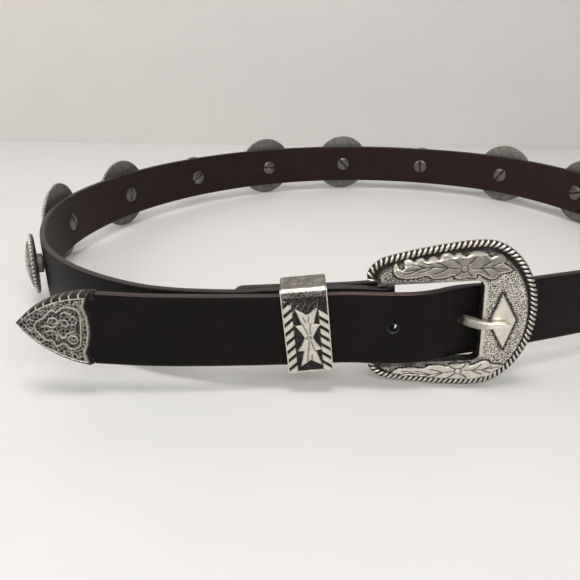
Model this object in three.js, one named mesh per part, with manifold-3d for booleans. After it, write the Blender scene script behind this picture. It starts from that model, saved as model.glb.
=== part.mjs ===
// Western belt, 25 mm wide, fastened and standing on its edge
// Millimetres, +Z up. The front with the buckle faces -Y and the wearer stands inside the loop.

import * as THREE from 'three';
import { mergeVertices } from 'three/addons/utils/BufferGeometryUtils.js';
import Module from 'manifold-3d';

const wasm = await Module();
wasm.setup();

// Driving dimensions

const gap = 0.3;

const strap = {
	width: 25,
	thickness: 2.4,
	layerStep: 2.75,
	foldCornerRadius: 4,
	stationSpacing: 7.5,
	holeRadius: 1.9,
	holeSpacing: 25,
};
const halfWidth = strap.width / 2;
const halfThickness = strap.thickness / 2;

const buckle = {
	centreX: 16.2,
	centreZ: 25.75,
	tilt: THREE.MathUtils.degToRad( 4 ),
	frontY: - 131.6,
	thickness: 4.4,
	recess: 2.2,
	openingTop: 13.2,
	openingBottom: 15.4,
	openingRight: 6.4,
	openingCorner: 2.5,
	ropeRadius: 1.1,
	grooveWidth: 1.1,
	shoulderInset: 2.53,
	leafHeight: 0.6,
	plateHeight: 0.9,
};

const bar = { x: - 8.8, z: 23.5, radius: 1.4, play: 0.15, lugWidth: 5, lugHeight: 4 };

const prongRadius = 1.25;

const keeper = { x: - 33.4, drop: 0.45, width: 14.4, height: 30.2, depth: 11.4, wall: 1.2, corner: 1.4, relief: 0.45 };
const keeperTilt = THREE.MathUtils.degToRad( 6.4 );

const tip = {
	length: 23.5,
	ogive: 25,
	half: 12.5,
	front: 1.6,
	back: 0.7,
	sideWall: 1.1,
	bevel: 0.8,
	frontSetBack: 1.6,
};

const concho = {
	bigRadius: 19.2,
	smallRadius: 12.5,
	spacing: 57.4,
	firstAt: 158,
	rim: 1.4,
	dome: 2.4,
	standoff: 2.5,
	bossRadius: 4,
	postRadius: 2.4,
	boreRadius: 1.5,
	bigFacets: 20,
	smallFacets: 14,
};

const screw = {
	headRadius: 4.4,
	headThickness: 0.9,
	shankRadius: 1.2,
	shankLength: 3.2,
	slotWidth: 1.1,
	slotDepth: 0.45,
};

const foldStud = { headRadius: 3.9, headThickness: 0.7, shankRadius: 2.2 };

// Materials

const leather = new THREE.MeshStandardMaterial( { color: 0x1f1917, roughness: 0.62, metalness: 0 } );
const antiqueSilver = new THREE.MeshStandardMaterial( { color: 0x9c948a, roughness: 0.42, metalness: 1 } );
const steel = new THREE.MeshStandardMaterial( { color: 0x77746f, roughness: 0.4, metalness: 1 } );

// Shape helpers

// Makes a closed geometry into a solid that can be joined and cut, with its faces pointing out
function solid( geometry ) {

	const bare = geometry.clone();
	bare.deleteAttribute( 'normal' );
	bare.deleteAttribute( 'uv' );
	const merged = mergeVertices( bare, 1e-3 );
	const vertProperties = new Float32Array( merged.attributes.position.array );
	const triVerts = new Uint32Array( merged.index.array.length );
	triVerts.set( merged.index.array );
	if ( signedVolume( vertProperties, triVerts ) < 0 ) triVerts.reverse();
	return new wasm.Manifold( new wasm.Mesh( { numProp: 3, vertProperties, triVerts } ) );

}

function signedVolume( position, index ) {

	const corner = ( i ) => new THREE.Vector3().fromArray( position, index[ i ] * 3 );
	let volume = 0;
	for ( let i = 0; i < index.length; i += 3 ) {

		volume += corner( i ).dot( corner( i + 1 ).cross( corner( i + 2 ) ) ) / 6;

	}

	return volume;

}

function join( solids ) {

	return solids.reduce( ( whole, piece ) => whole.add( piece ) );

}

function meshOf( name, body, material ) {

	const { vertProperties, triVerts } = body.getMesh();
	const geometry = new THREE.BufferGeometry();
	geometry.setAttribute( 'position', new THREE.BufferAttribute( vertProperties, 3 ) );
	geometry.setIndex( new THREE.BufferAttribute( triVerts, 1 ) );
	geometry.computeVertexNormals();
	const mesh = new THREE.Mesh( geometry, material );
	mesh.name = name;
	return mesh;

}

// Skins a row of rings, each a list of Vector3 with the same number of points, and closes both ends
function loft( rings ) {

	const sides = rings[ 0 ].length;
	const last = ( rings.length - 1 ) * sides;
	const index = [];
	for ( let row = 0; row < last; row += sides ) {

		for ( let i = 0; i < sides; i ++ ) {

			const a = row + i;
			const b = row + ( i + 1 ) % sides;
			index.push( a, b, a + sides, b, b + sides, a + sides );

		}

	}

	for ( let i = 1; i < sides - 1; i ++ ) {

		index.push( 0, i + 1, i );
		index.push( last, last + i, last + i + 1 );

	}

	const geometry = new THREE.BufferGeometry();
	const position = rings.flat().flatMap( ( point ) => point.toArray() );
	geometry.setAttribute( 'position', new THREE.Float32BufferAttribute( position, 3 ) );
	geometry.setIndex( index );
	return solid( geometry );

}

// An upright plate drawn in X and Z, from its front face at frontY back by depth
function plate( shape, frontY, depth, curveSegments = 6 ) {

	const geometry = new THREE.ExtrudeGeometry( shape, { depth, bevelEnabled: false, curveSegments } );
	geometry.rotateX( Math.PI / 2 );
	geometry.translate( 0, frontY + depth, 0 );
	return solid( geometry );

}

// A round rod from one point to another
function rod( from, to, radius, sides = 12 ) {

	const along = new THREE.Vector3().subVectors( to, from );
	const geometry = new THREE.CylinderGeometry( radius, radius, along.length(), sides );
	const turn = new THREE.Quaternion().setFromUnitVectors( new THREE.Vector3( 0, 1, 0 ), along.normalize() );
	geometry.applyQuaternion( turn );
	geometry.translate( ( from.x + to.x ) / 2, ( from.y + to.y ) / 2, ( from.z + to.z ) / 2 );
	return solid( geometry );

}

// A round wire that follows points lying in one plane, whose normal is given
function wire( points, radius, normal, sides = 8 ) {

	return loft( points.map( ( point, i ) => {

		const before = points[ Math.max( i - 1, 0 ) ];
		const after = points[ Math.min( i + 1, points.length - 1 ) ];
		const along = new THREE.Vector3().subVectors( after, before ).normalize();
		const across = new THREE.Vector3().crossVectors( along, normal );
		return Array.from( { length: sides }, ( _, k ) => {

			const turn = 2 * Math.PI * ( k + 0.5 ) / sides;
			return point.clone()
				.addScaledVector( across, radius * Math.cos( turn ) )
				.addScaledVector( normal, radius * Math.sin( turn ) );

		} );

	} ) );

}

// A turned piece from rows of radius and height along its axis
function turned( rows, facets, axisStart = 0 ) {

	const points = rows.map( ( { r, h } ) => new THREE.Vector2( r, h ) );
	return solid( new THREE.LatheGeometry( points, facets, axisStart ) );

}

// Course of the strap, seen from above, with the height of its middle

// Where the fold, the body and the billet lie together, given by the body layer from the bar leftwards
const together = [
	{ x: - 21, y: - 130.1, z: 23.85 },
	{ x: - 33, y: - 130.4, z: 23.3 },
	{ x: - 45, y: - 130.9, z: 23 },
	{ x: - 57, y: - 131.0, z: 22.3 },
];

// From the left of the keeper round the back to the right of the buckle
const loop = [
	{ x: - 87.5, y: - 123.8, z: 20.6 },
	{ x: - 119.9, y: - 101.9, z: 19.6 },
	{ x: - 141, y: - 71, z: 19.2 },
	{ x: - 151.6, y: - 18.4, z: 19.1 },
	{ x: - 137, y: 38, z: 19.1 },
	{ x: - 103, y: 86.5, z: 19.1 },
	{ x: - 55.2, y: 121, z: 19.1 },
	{ x: 2.4, y: 137.2, z: 19.1 },
	{ x: 57.6, y: 131.6, z: 19.1 },
	{ x: 107, y: 107, z: 19.1 },
	{ x: 139, y: 60, z: 19.1 },
	{ x: 151, y: 13, z: 19.1 },
	{ x: 148, y: - 26, z: 19.5 },
	{ x: 132, y: - 61.5, z: 20.4 },
	{ x: 104, y: - 88.8, z: 21.3 },
	{ x: 72, y: - 106, z: 22.05 },
	{ x: 42, y: - 117.8, z: 22.5 },
];

// From behind the buckle's right side to the metal tip, hanging a little lower than the layers behind it
const billetDrop = 0.85;
const billet = [
	{ x: 30, y: - 122.8, z: 22.8 },
	{ x: 21, y: - 125.6, z: 23.2 },
	{ x: 14, y: - 128.1, z: 23.4 },
	{ x: 8, y: - 131, z: 23.35 },
	{ x: 1, y: - 132.9, z: 23.2 },
	{ x: - 9, y: - 133.3, z: 23.1 },
	...together.slice( 0, 3 ).map( ( { x, y, z } ) => ( { x, y: y - strap.layerStep, z: z - billetDrop } ) ),
	{ x: - 66, y: - 135.6, z: 22.55 },
	{ x: - 84, y: - 136.6, z: 23 },
	{ x: - 99.5, y: - 136.9, z: 23.8 },
];

const tipDirection = new THREE.Vector3( - 25, 0.2, 2.6 ).normalize();
const up = new THREE.Vector3( 0, 0, 1 );
const toWearer = new THREE.Vector3( 0, 1, 0 );

const bodyAtBarY = - 129.95;
const wrapRadius = bar.radius + gap + bar.play + halfThickness;
bar.y = bodyAtBarY + wrapRadius;

function curveThrough( rows ) {

	const points = rows.map( ( { x, y, z } ) => new THREE.Vector3( x, y, z ) );
	return new THREE.CatmullRomCurve3( points, false, 'centripetal' );

}

const foldCurve = curveThrough( [
	...together.map( ( { x, y, z } ) => ( { x, y: y + strap.layerStep, z } ) ).reverse(),
	{ x: bar.x - 6, y: bar.y + wrapRadius - 1.5, z: bar.z },
	{ x: bar.x, y: bar.y + wrapRadius, z: bar.z },
] );

const bodyCurve = curveThrough( [ { x: bar.x, y: bodyAtBarY, z: bar.z }, ...together, ...loop, ...billet ] );
const bodyLength = bodyCurve.getLength();

// Half the strap's width at a distance from the fold's cut end, whose corners are rounded
function foldHalfWidth( fromEnd ) {

	const r = strap.foldCornerRadius;
	const left = r - Math.min( fromEnd, r );
	return halfWidth - r + Math.sqrt( r * r - left * left );

}

// Half the metal tip's height at a distance from its point, where two arcs meet
function tipHalf( fromPoint ) {

	const arc = ( tip.ogive ** 2 + tip.half ** 2 ) / ( 2 * tip.half );
	const run = Math.max( tip.ogive - fromPoint, 0 );
	return Math.sqrt( arc * arc - run * run ) - ( arc - tip.half );

}

// In front of this the strap is its own free end, which leans with the metal tip
const freeEndY = - 133.5;
const tipLean = - Math.atan2( tipDirection.z, - tipDirection.x );

// How far the upright section leans left with the buckle: fully at the front, not at all round the loop
function leanAt( { x, y } ) {

	if ( y > - 100 ) return 0;
	const leftFade = THREE.MathUtils.smoothstep( x, - 100, - 60 );
	const rightFade = 1 - THREE.MathUtils.smoothstep( x, 24, 70 );
	const farLean = y < freeEndY ? tipLean : 0;
	return ( buckle.tilt * leftFade + farLean * ( 1 - leftFade ) ) * rightFade;

}

const stations = [];

const foldLength = foldCurve.getLength();
for ( const fromEnd of [ 0, 0.4, 1.2, 2.4, 4, 12, 20, 28, 36, 41, 45 ] ) {

	stations.push( { at: foldCurve.getPointAt( fromEnd / foldLength ), half: foldHalfWidth( fromEnd ) } );

}

const wrapSteps = 9;
for ( let i = 0; i <= wrapSteps; i ++ ) {

	const turn = Math.PI / 2 - Math.PI * i / wrapSteps;
	const x = bar.x + wrapRadius * Math.cos( turn );
	const y = bar.y + wrapRadius * Math.sin( turn );
	stations.push( { at: new THREE.Vector3( x, y, bar.z ), half: halfWidth } );

}

const bodySteps = Math.round( bodyLength / strap.stationSpacing );
for ( let i = 1; i <= bodySteps; i ++ ) {

	stations.push( { at: bodyCurve.getPointAt( i / bodySteps ), half: halfWidth } );

}

// Inside the metal tip the leather is trimmed narrower and follows the point
const tipPoint = bodyCurve.getPointAt( 1 ).addScaledVector( tipDirection, tip.length + gap );
const trim = tip.sideWall + 2 * gap;
for ( const fromPoint of [ tip.length + gap / 2, 19, 15, 12, 9 ] ) {

	const at = tipPoint.clone().addScaledVector( tipDirection, - fromPoint );
	stations.push( { at, half: tipHalf( fromPoint ) - trim } );

}

// The strap's section stands on its edge, square to its course seen from above
function strapRing( { at, half }, i ) {

	const before = stations[ Math.max( i - 1, 0 ) ].at;
	const after = stations[ Math.min( i + 1, stations.length - 1 ) ].at;
	const across = new THREE.Vector3( after.y - before.y, before.x - after.x, 0 ).normalize();
	const lean = leanAt( at );
	const upright = new THREE.Vector3( - Math.sin( lean ), 0, Math.cos( lean ) );
	const corners = [ [ - 1, 1 ], [ 1, 1 ], [ 1, - 1 ], [ - 1, - 1 ] ];
	return corners.map( ( [ side, rise ] ) => {

		return at.clone().addScaledVector( across, side * halfThickness ).addScaledVector( upright, rise * half );

	} );

}

// Conchos and their screws, in a pattern of one small and two big discs at even steps

const conchoPattern = [ 'small', 'big', 'big', 'small', 'big', 'big', 'small', 'big', 'big', 'small' ];
const conchoHeight = concho.bigRadius * Math.cos( Math.PI / concho.bigFacets );

// Each concho's place: local Y points out of the loop and local Z up, so that a flat facet is lowest
const conchoPlaces = conchoPattern.map( ( kind, i ) => {

	const share = ( concho.firstAt + i * concho.spacing ) / bodyLength;
	const at = bodyCurve.getPointAt( share ).setZ( conchoHeight );
	const along = bodyCurve.getTangentAt( share ).setZ( 0 ).normalize();
	const outward = new THREE.Vector3( along.y, - along.x, 0 );
	if ( outward.dot( at ) < 0 ) outward.negate();
	const side = new THREE.Vector3().crossVectors( outward, up );
	const turn = new THREE.Matrix4().makeBasis( side, outward, up );
	return { kind, at, outward, turn };

} );

function conchoSolid( radius, facets ) {

	const { rim, dome, standoff, bossRadius, postRadius, boreRadius } = concho;
	const seat = halfThickness + gap;
	const back = seat + standoff;
	const postEnd = - halfThickness;
	const boreEnd = postEnd + screw.shankLength;
	return turned( [
		{ r: 0, h: boreEnd },
		{ r: boreRadius, h: boreEnd },
		{ r: boreRadius, h: postEnd },
		{ r: postRadius, h: postEnd },
		{ r: postRadius, h: seat },
		{ r: bossRadius, h: seat },
		{ r: bossRadius, h: back + rim },
		{ r: radius, h: back },
		{ r: radius, h: back + rim },
		{ r: radius * 0.9, h: back + rim * 1.3 },
		{ r: radius * 0.6, h: back + rim + dome * 0.68 },
		{ r: radius * 0.3, h: back + rim + dome * 0.94 },
		{ r: 0, h: back + rim + dome },
	], facets, Math.PI / facets );

}

function screwSolid() {

	const { headRadius, headThickness, shankRadius, shankLength, slotWidth, slotDepth } = screw;
	const face = - halfThickness - gap;
	const head = turned( [
		{ r: 0, h: face - headThickness },
		{ r: headRadius * 0.8, h: face - headThickness },
		{ r: headRadius, h: face - headThickness * 0.5 },
		{ r: headRadius, h: face },
		{ r: shankRadius, h: face },
		{ r: shankRadius, h: face + shankLength },
		{ r: 0, h: face + shankLength },
	], 12 );
	const slot = new THREE.BoxGeometry( headRadius * 2.2, slotDepth * 2, slotWidth );
	slot.translate( 0, face - headThickness, 0 );
	return head.subtract( solid( slot ) );

}

// Buckle, drawn about its own middle and then tilted into place

// Half the frame's height at places along it, from the inner corner of an arm's end to the right edge
const frameOutline = [
	{ along: - 29.5, half: 14 },
	{ along: - 30, half: 15.8 },
	{ along: - 29.1, half: 18.2 },
	{ along: - 26.8, half: 20.4 },
	{ along: - 23.2, half: 21.9 },
	{ along: - 11.1, half: 24.2 },
	{ along: 3.5, half: 25.7 },
	{ along: 11.6, half: 24.3 },
	{ along: 18.5, half: 18.5 },
	{ along: 22.9, half: 9.6 },
	{ along: 24.2, half: 0 },
];

const frameCurve = new THREE.SplineCurve( [
	...frameOutline.map( ( { along, half } ) => new THREE.Vector2( along, half ) ),
	...frameOutline.slice( 0, - 1 ).reverse().map( ( { along, half } ) => new THREE.Vector2( along, - half ) ),
] );

// The frame's outer line, moved inwards by an inset
function frameLine( inset, steps = 40 ) {

	return Array.from( { length: steps + 1 }, ( _, i ) => {

		const at = frameCurve.getPointAt( i / steps );
		const along = frameCurve.getTangentAt( i / steps );
		return new THREE.Vector2( at.x + along.y * inset, at.y - along.x * inset );

	} );

}

function frameShape( inset ) {

	const { openingTop, openingBottom, openingRight, openingCorner } = buckle;
	const isFrame = ( point ) => point.x > 0 || point.y > openingTop || point.y < - openingBottom;
	const outer = frameLine( inset ).filter( isFrame );
	const shape = new THREE.Shape( outer );
	const cornerX = openingRight - openingCorner;
	shape.lineTo( outer[ outer.length - 1 ].x, - openingBottom );
	shape.lineTo( cornerX, - openingBottom );
	shape.absarc( cornerX, openingCorner - openingBottom, openingCorner, - Math.PI / 2, 0, false );
	shape.absarc( cornerX, openingTop - openingCorner, openingCorner, 0, Math.PI / 2, false );
	shape.lineTo( outer[ 0 ].x, openingTop );
	return shape;

}

// Lobes of the leaf spray on each arm: centre, half length, half height and turn of each
const leafLobes = [
	{ along: - 19, rise: 17.2, long: 3, high: 1.4, turn: - 0.5 },
	{ along: - 14.5, rise: 18, long: 3.8, high: 2.2, turn: 0.1 },
	{ along: - 9.5, rise: 18.2, long: 3.6, high: 2.6, turn: 0.2 },
	{ along: - 4.8, rise: 18.6, long: 3, high: 2.7, turn: 0.3 },
	{ along: 4.8, rise: 18.6, long: 3.2, high: 2.9, turn: - 0.3 },
	{ along: 9.2, rise: 17.6, long: 3.6, high: 2.9, turn: 0.2 },
	{ along: 12.8, rise: 17.2, long: 2.8, high: 1.4, turn: - 0.2 },
];
const flower = { along: 0.2, rise: 18.2, petalReach: 2, petalRadius: 1.45, petals: 5 };

// The lower spray mirrors the upper one, a little flatter and further out, on its narrower arm
const sprayMiddle = 17.8;
const sprays = [
	{ side: 1, middle: sprayMiddle, flat: 1 },
	{ side: - 1, middle: 18.7, flat: 0.85 },
];

function oval( x, z, long, high, turn ) {

	const shape = new THREE.Shape();
	shape.absellipse( x, z, long, high, 0, 2 * Math.PI, false, turn );
	return shape;

}

function leafSpray( { side, middle, flat } ) {

	const { frontY, leafHeight } = buckle;
	const raise = ( shape ) => plate( shape, frontY - leafHeight, leafHeight + 0.3 );
	const place = ( rise ) => side * ( middle + flat * ( rise - sprayMiddle ) );
	const lobes = leafLobes.map( ( { along, rise, long, high, turn } ) => {

		return raise( oval( along, place( rise ), long, flat * high, side * turn ) );

	} );
	for ( let i = 0; i < flower.petals; i ++ ) {

		const turn = 2 * Math.PI * i / flower.petals;
		const x = flower.along + flower.petalReach * Math.cos( turn );
		const z = place( flower.rise ) + flat * flower.petalReach * Math.sin( turn );
		lobes.push( raise( oval( x, z, flower.petalRadius, flat * flower.petalRadius, 0 ) ) );

	}

	return join( lobes );

}

// Diamond plate that the prong rests on, turned upright against the buckle's tilt
const diamond = { along: 12.75, rise: - 1.15, halfWidth: 4.05, halfHeight: 9.65, turn: 0.077 };

function buckleFrameSolid() {

	const { frontY, thickness, recess, ropeRadius, grooveWidth, plateHeight, centreX } = buckle;
	const base = plate( frameShape( 0 ), frontY + recess, thickness - recess );
	const field = plate( frameShape( 2 * ropeRadius + grooveWidth ), frontY, recess + 0.5 );
	const shoulder = plate( frameShape( buckle.shoulderInset ), frontY + recess / 2, recess );

	const ropeLine = frameLine( ropeRadius * 0.9 );
	const ropePoints = ropeLine.map( ( { x, y } ) => new THREE.Vector3( x, frontY + recess + 0.6, y ) );
	const rope = wire( ropePoints, ropeRadius, toWearer, 6 );

	const { along, rise, halfWidth: wide, halfHeight: high, turn } = diamond;
	const corners = [ [ - wide, 0 ], [ 0, - high ], [ wide, 0 ], [ 0, high ] ].map( ( [ x, y ] ) => {

		return new THREE.Vector2( x, y ).rotateAround( new THREE.Vector2(), turn ).add( new THREE.Vector2( along, rise ) );

	} );
	const prongRest = plate( new THREE.Shape( corners ), frontY - plateHeight, plateHeight + 0.3 );

	const barX = bar.x - centreX;
	const lugBack = bar.y + bar.radius + 0.4;
	const parts = [ base, shoulder, field, rope, prongRest, ...sprays.map( leafSpray ) ];
	const upperLug = buckle.openingTop + bar.lugHeight / 2;
	const lowerLug = - buckle.openingBottom - bar.lugHeight / 2;
	for ( const lugZ of [ upperLug, lowerLug ] ) {

		const lugFront = frontY + thickness - 1;
		const lug = new THREE.BoxGeometry( bar.lugWidth, lugBack - lugFront, bar.lugHeight );
		lug.translate( barX, ( lugBack + lugFront ) / 2, lugZ );
		parts.push( solid( lug ) );

	}

	const from = new THREE.Vector3( barX, bar.y, lowerLug );
	parts.push( rod( from, new THREE.Vector3( barX, bar.y, upperLug ), bar.radius, 12 ) );
	return join( parts );

}

// The prong's course from the bar, behind the billet, up through its hole and onto the diamond
const prongCourse = [
	{ along: - 22.2, y: - 126.9, rise: - 0.2 },
	{ along: - 15.3, y: - 126.9, rise: - 0.7 },
	{ along: - 9.3, y: - 126.3, rise: - 1.1 },
	{ along: - 4.3, y: - 126, rise: - 1.45 },
	{ along: 1, y: - 127.8, rise: - 1.75 },
	{ along: 3.7, y: - 131, rise: - 1.5 },
	{ along: 5.7, y: - 133.3, rise: - 1.3 },
	{ along: 8.2, y: - 134.1, rise: - 1.2 },
	{ along: 11.2, y: - 134.2, rise: - 1.25 },
	{ along: 14, y: - 134.1, rise: - 1.4 },
];

// The prong, or the room that it needs when its radius has a gap added
function prongShank( radius ) {

	const rows = prongCourse.map( ( { along, y, rise } ) => ( { x: along, y, z: rise } ) );
	return wire( curveThrough( rows ).getPoints( 15 ), radius, up, 8 );

}

function prongSolid() {

	const ringRadius = bar.radius + gap + prongRadius;
	const sides = 8;
	const profile = Array.from( { length: sides + 1 }, ( _, i ) => {

		const turn = 2 * Math.PI * ( i % sides ) / sides;
		return new THREE.Vector2( ringRadius + prongRadius * Math.cos( turn ), prongRadius * Math.sin( turn ) );

	} );
	const ring = new THREE.LatheGeometry( profile, 12 );
	ring.rotateX( Math.PI / 2 );
	ring.translate( bar.x - buckle.centreX, bar.y, 0 );
	return solid( ring ).add( prongShank( prongRadius ) );

}

// Keeper, a sleeve round the three layers, drawn about its own middle

function roundedBox( halfY, halfZ, radius ) {

	const shape = new THREE.Shape();
	shape.absarc( halfY - radius, halfZ - radius, radius, 0, Math.PI / 2, false );
	shape.absarc( radius - halfY, halfZ - radius, radius, Math.PI / 2, Math.PI, false );
	shape.absarc( radius - halfY, radius - halfZ, radius, Math.PI, 1.5 * Math.PI, false );
	shape.absarc( halfY - radius, radius - halfZ, radius, 1.5 * Math.PI, 2 * Math.PI, false );
	return shape;

}

function sleeve( halfY, halfZ, radius, length ) {

	const options = { depth: length, bevelEnabled: false, curveSegments: 4 };
	const geometry = new THREE.ExtrudeGeometry( roundedBox( halfY, halfZ, radius ), options );
	geometry.applyMatrix4( new THREE.Matrix4().makeBasis( toWearer, up, new THREE.Vector3( 1, 0, 0 ) ) );
	geometry.translate( - length / 2, 0, 0 );
	return solid( geometry );

}

function keeperSolid() {

	const { width, height, depth, wall, corner, relief } = keeper;
	const outside = sleeve( depth / 2, height / 2, corner, width );
	const inside = sleeve( depth / 2 - wall, height / 2 - wall, 0.4, width * 1.2 );
	const frontY = - depth / 2;
	const parts = [ outside.subtract( inside ) ];

	const rows = 6;
	const rowStep = ( height - 3 ) / rows;
	for ( let row = 0; row < rows; row ++ ) {

		for ( const side of [ 1, - 1 ] ) {

			const barPiece = new THREE.BoxGeometry( 3, relief * 2, 1.6 );
			barPiece.rotateY( side * 0.75 );
			const z = ( row - ( rows - 1 ) / 2 ) * rowStep;
			barPiece.translate( side * ( width / 2 - 2 ), frontY, z );
			parts.push( solid( barPiece ) );

		}

	}

	const figure = [ [ 1.2, 0 ], [ 1, 4.2 ], [ 1.7, 5.4 ], [ 2.4, 6.4 ], [ 1.3, 7 ], [ 2.9, 10.2 ], [ 0, 8.8 ] ];
	const outline = figure.map( ( [ x, z ] ) => new THREE.Vector2( x, z ) );
	const mirrored = outline.slice( 0, - 1 ).map( ( { x, y } ) => new THREE.Vector2( - x, y ) ).reverse();
	const upperHalf = [ ...outline, ...mirrored ];
	const lowerHalf = upperHalf.slice( 1, - 1 ).map( ( { x, y } ) => new THREE.Vector2( x, - y ) ).reverse();
	parts.push( plate( new THREE.Shape( [ ...upperHalf, ...lowerHalf ] ), frontY - relief, relief + 0.3 ) );
	return join( parts );

}

// Metal tip, drawn with its point at the origin and its body along X

const tipBackEdge = [ { x: 22.8, z: 12.45 }, { x: 23.1, z: 10 }, { x: 22.4, z: 7.2 }, { x: 23.3, z: 4 } ];
const tipBackStart = 21.5;

function tipShape() {

	const upper = Array.from( { length: 11 }, ( _, i ) => {

		const x = tipBackStart * i / 10;
		return new THREE.Vector2( x, tipHalf( x ) );

	} );
	const edge = tipBackEdge.map( ( { x, z } ) => new THREE.Vector2( x, z ) );
	const top = [ ...upper, ...edge, new THREE.Vector2( tip.length, 0 ) ];
	const bottom = top.slice( 1, - 1 ).map( ( { x, y } ) => new THREE.Vector2( x, - y ) ).reverse();
	return new THREE.Shape( [ ...top, ...bottom ] );

}

function pocketShape() {

	const start = 7.5;
	const inner = ( x ) => Math.max( tipHalf( x ) - tip.sideWall, 0.3 );
	const upper = [ 0, 3, 6, 9, 13, 30 ].map( ( run ) => new THREE.Vector2( start + run, inner( start + run ) ) );
	const lower = upper.map( ( { x, y } ) => new THREE.Vector2( x, - y ) ).reverse();
	return new THREE.Shape( [ ...upper, ...lower ] );

}

function tipSolid() {

	const pocketHalf = halfThickness + gap;
	const { front, back, bevel } = tip;
	const depth = 2 * pocketHalf + front + back - 2 * bevel;
	const options = {
		depth,
		bevelThickness: bevel,
		bevelSize: bevel,
		bevelOffset: - bevel,
		bevelSegments: 2,
	};
	const geometry = new THREE.ExtrudeGeometry( tipShape(), options );
	geometry.rotateX( Math.PI / 2 );
	geometry.translate( 0, depth + bevel - pocketHalf - front, 0 );
	const slope = new THREE.BoxGeometry( 10, 10, 4 * tip.half );
	slope.translate( 5, 0, 0 );
	slope.rotateZ( Math.atan2( tip.frontSetBack, tip.front + gap ) );
	slope.translate( tip.length - 0.4, - halfThickness, 0 );
	const cap = solid( geometry ).subtract( plate( pocketShape(), - pocketHalf, 2 * pocketHalf ) );
	return cap.subtract( solid( slope ) );

}

// Studs that hold the fold, hidden between the body layer and the billet

function studAt( { x, y, z } ) {

	const { headRadius, headThickness, shankRadius } = foldStud;
	const outer = - halfThickness + 0.2;
	const inner = strap.layerStep + halfThickness + gap;
	const stud = turned( [
		{ r: 0, h: outer },
		{ r: headRadius, h: outer },
		{ r: headRadius, h: outer + headThickness },
		{ r: shankRadius, h: outer + headThickness },
		{ r: shankRadius, h: inner },
		{ r: headRadius, h: inner },
		{ r: headRadius, h: inner + headThickness * 0.5 },
		{ r: headRadius * 0.8, h: inner + headThickness },
		{ r: 0, h: inner + headThickness },
	], 12 );
	const along = ( reach ) => new THREE.Vector3( x, y + reach, z );
	const seatRadius = headRadius + gap;
	const room = join( [
		rod( along( - halfThickness - 0.15 ), along( outer + headThickness + gap ), seatRadius ),
		rod( along( 0 ), along( inner ), shankRadius + gap ),
		rod( along( inner - gap ), along( inner + 3 ), seatRadius ),
	] );
	return { solid: stud.translate( [ x, y, z ] ), room };

}

// Assembly

const belt = new THREE.Group();

const buckleGroup = new THREE.Group();
buckleGroup.position.set( buckle.centreX, 0, buckle.centreZ );
buckleGroup.rotation.y = - buckle.tilt;
buckleGroup.updateMatrix();
buckleGroup.add( meshOf( 'buckle_frame', buckleFrameSolid(), antiqueSilver ) );
buckleGroup.add( meshOf( 'prong', prongSolid(), antiqueSilver ) );
belt.add( buckleGroup );

// The strap, pierced for the posts, the prong, its ring, the studs and the buckle holes
let strapSolid = loft( stations.map( strapRing ) );
const pierce = ( cutter ) => {

	strapSolid = strapSolid.subtract( cutter );

};

conchoPlaces.forEach( ( { kind, at, outward, turn }, i ) => {

	const reach = 4;
	const inside = at.clone().addScaledVector( outward, - reach );
	const outside = at.clone().addScaledVector( outward, reach );
	pierce( rod( inside, outside, concho.postRadius + gap ) );

	const big = kind === 'big';
	const radius = big ? concho.bigRadius : concho.smallRadius;
	const facets = big ? concho.bigFacets : concho.smallFacets;
	const disc = meshOf( `concho_${ i + 1 }`, conchoSolid( radius, facets ), antiqueSilver );
	const back = meshOf( `screw_${ i + 1 }`, screwSolid(), steel );
	for ( const piece of [ disc, back ] ) {

		piece.quaternion.setFromRotationMatrix( turn );
		piece.position.copy( at );
		belt.add( piece );

	}

} );

pierce( prongShank( prongRadius + gap ).transform( buckleGroup.matrix.toArray() ) );

const slotLength = 11;
const slotDepth = 10;
const slotHeight = 2 * ( prongRadius + 2 * gap );
const slot = new THREE.BoxGeometry( slotLength, slotDepth, slotHeight );
const slotZ = buckle.centreZ + ( bar.x - buckle.centreX ) * Math.tan( buckle.tilt );
slot.translate( bar.x, bodyAtBarY - halfThickness - 0.15 + slotDepth / 2, slotZ );
pierce( solid( slot ) );

const prongHoleX = 18.8;
const holeRise = 0.6;
for ( const x of [ prongHoleX - strap.holeSpacing, prongHoleX - 2 * strap.holeSpacing ] ) {

	const nearest = billet.reduce( ( best, row ) => Math.abs( row.x - x ) < Math.abs( best.x - x ) ? row : best );
	const centre = new THREE.Vector3( x, nearest.y, nearest.z + holeRise );
	const behind = centre.clone().addScaledVector( toWearer, halfThickness + 0.15 );
	const before = centre.clone().addScaledVector( toWearer, - 3 );
	pierce( rod( before, behind, strap.holeRadius ) );

}

[ together[ 0 ], together[ 2 ] ].forEach( ( place, i ) => {

	const stud = studAt( place );
	pierce( stud.room );
	belt.add( meshOf( `fold_stud_${ i + 1 }`, stud.solid, steel ) );

} );

belt.add( meshOf( 'strap', strapSolid, leather ) );

const keeperMesh = meshOf( 'keeper', keeperSolid(), antiqueSilver );
keeperMesh.position.set( keeper.x, together[ 1 ].y, together[ 1 ].z - keeper.drop );
keeperMesh.rotation.y = - keeperTilt;
belt.add( keeperMesh );

const tipMesh = meshOf( 'tip', tipSolid(), antiqueSilver );
const tipAlong = tipDirection.clone().negate();
const tipAcross = new THREE.Vector3().crossVectors( up, tipAlong ).normalize();
const tipUp = new THREE.Vector3().crossVectors( tipAlong, tipAcross );
tipMesh.quaternion.setFromRotationMatrix( new THREE.Matrix4().makeBasis( tipAlong, tipAcross, tipUp ) );
tipMesh.position.copy( tipPoint );
belt.add( tipMesh );

// The belt's own origin is under the middle of its box, on the surface that it stands on
belt.updateMatrixWorld( true );
const box = new THREE.Box3().setFromObject( belt, true );
const middle = box.getCenter( new THREE.Vector3() );
belt.position.set( - middle.x, - middle.y, - box.min.z );

export default belt;
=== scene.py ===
import math

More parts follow.
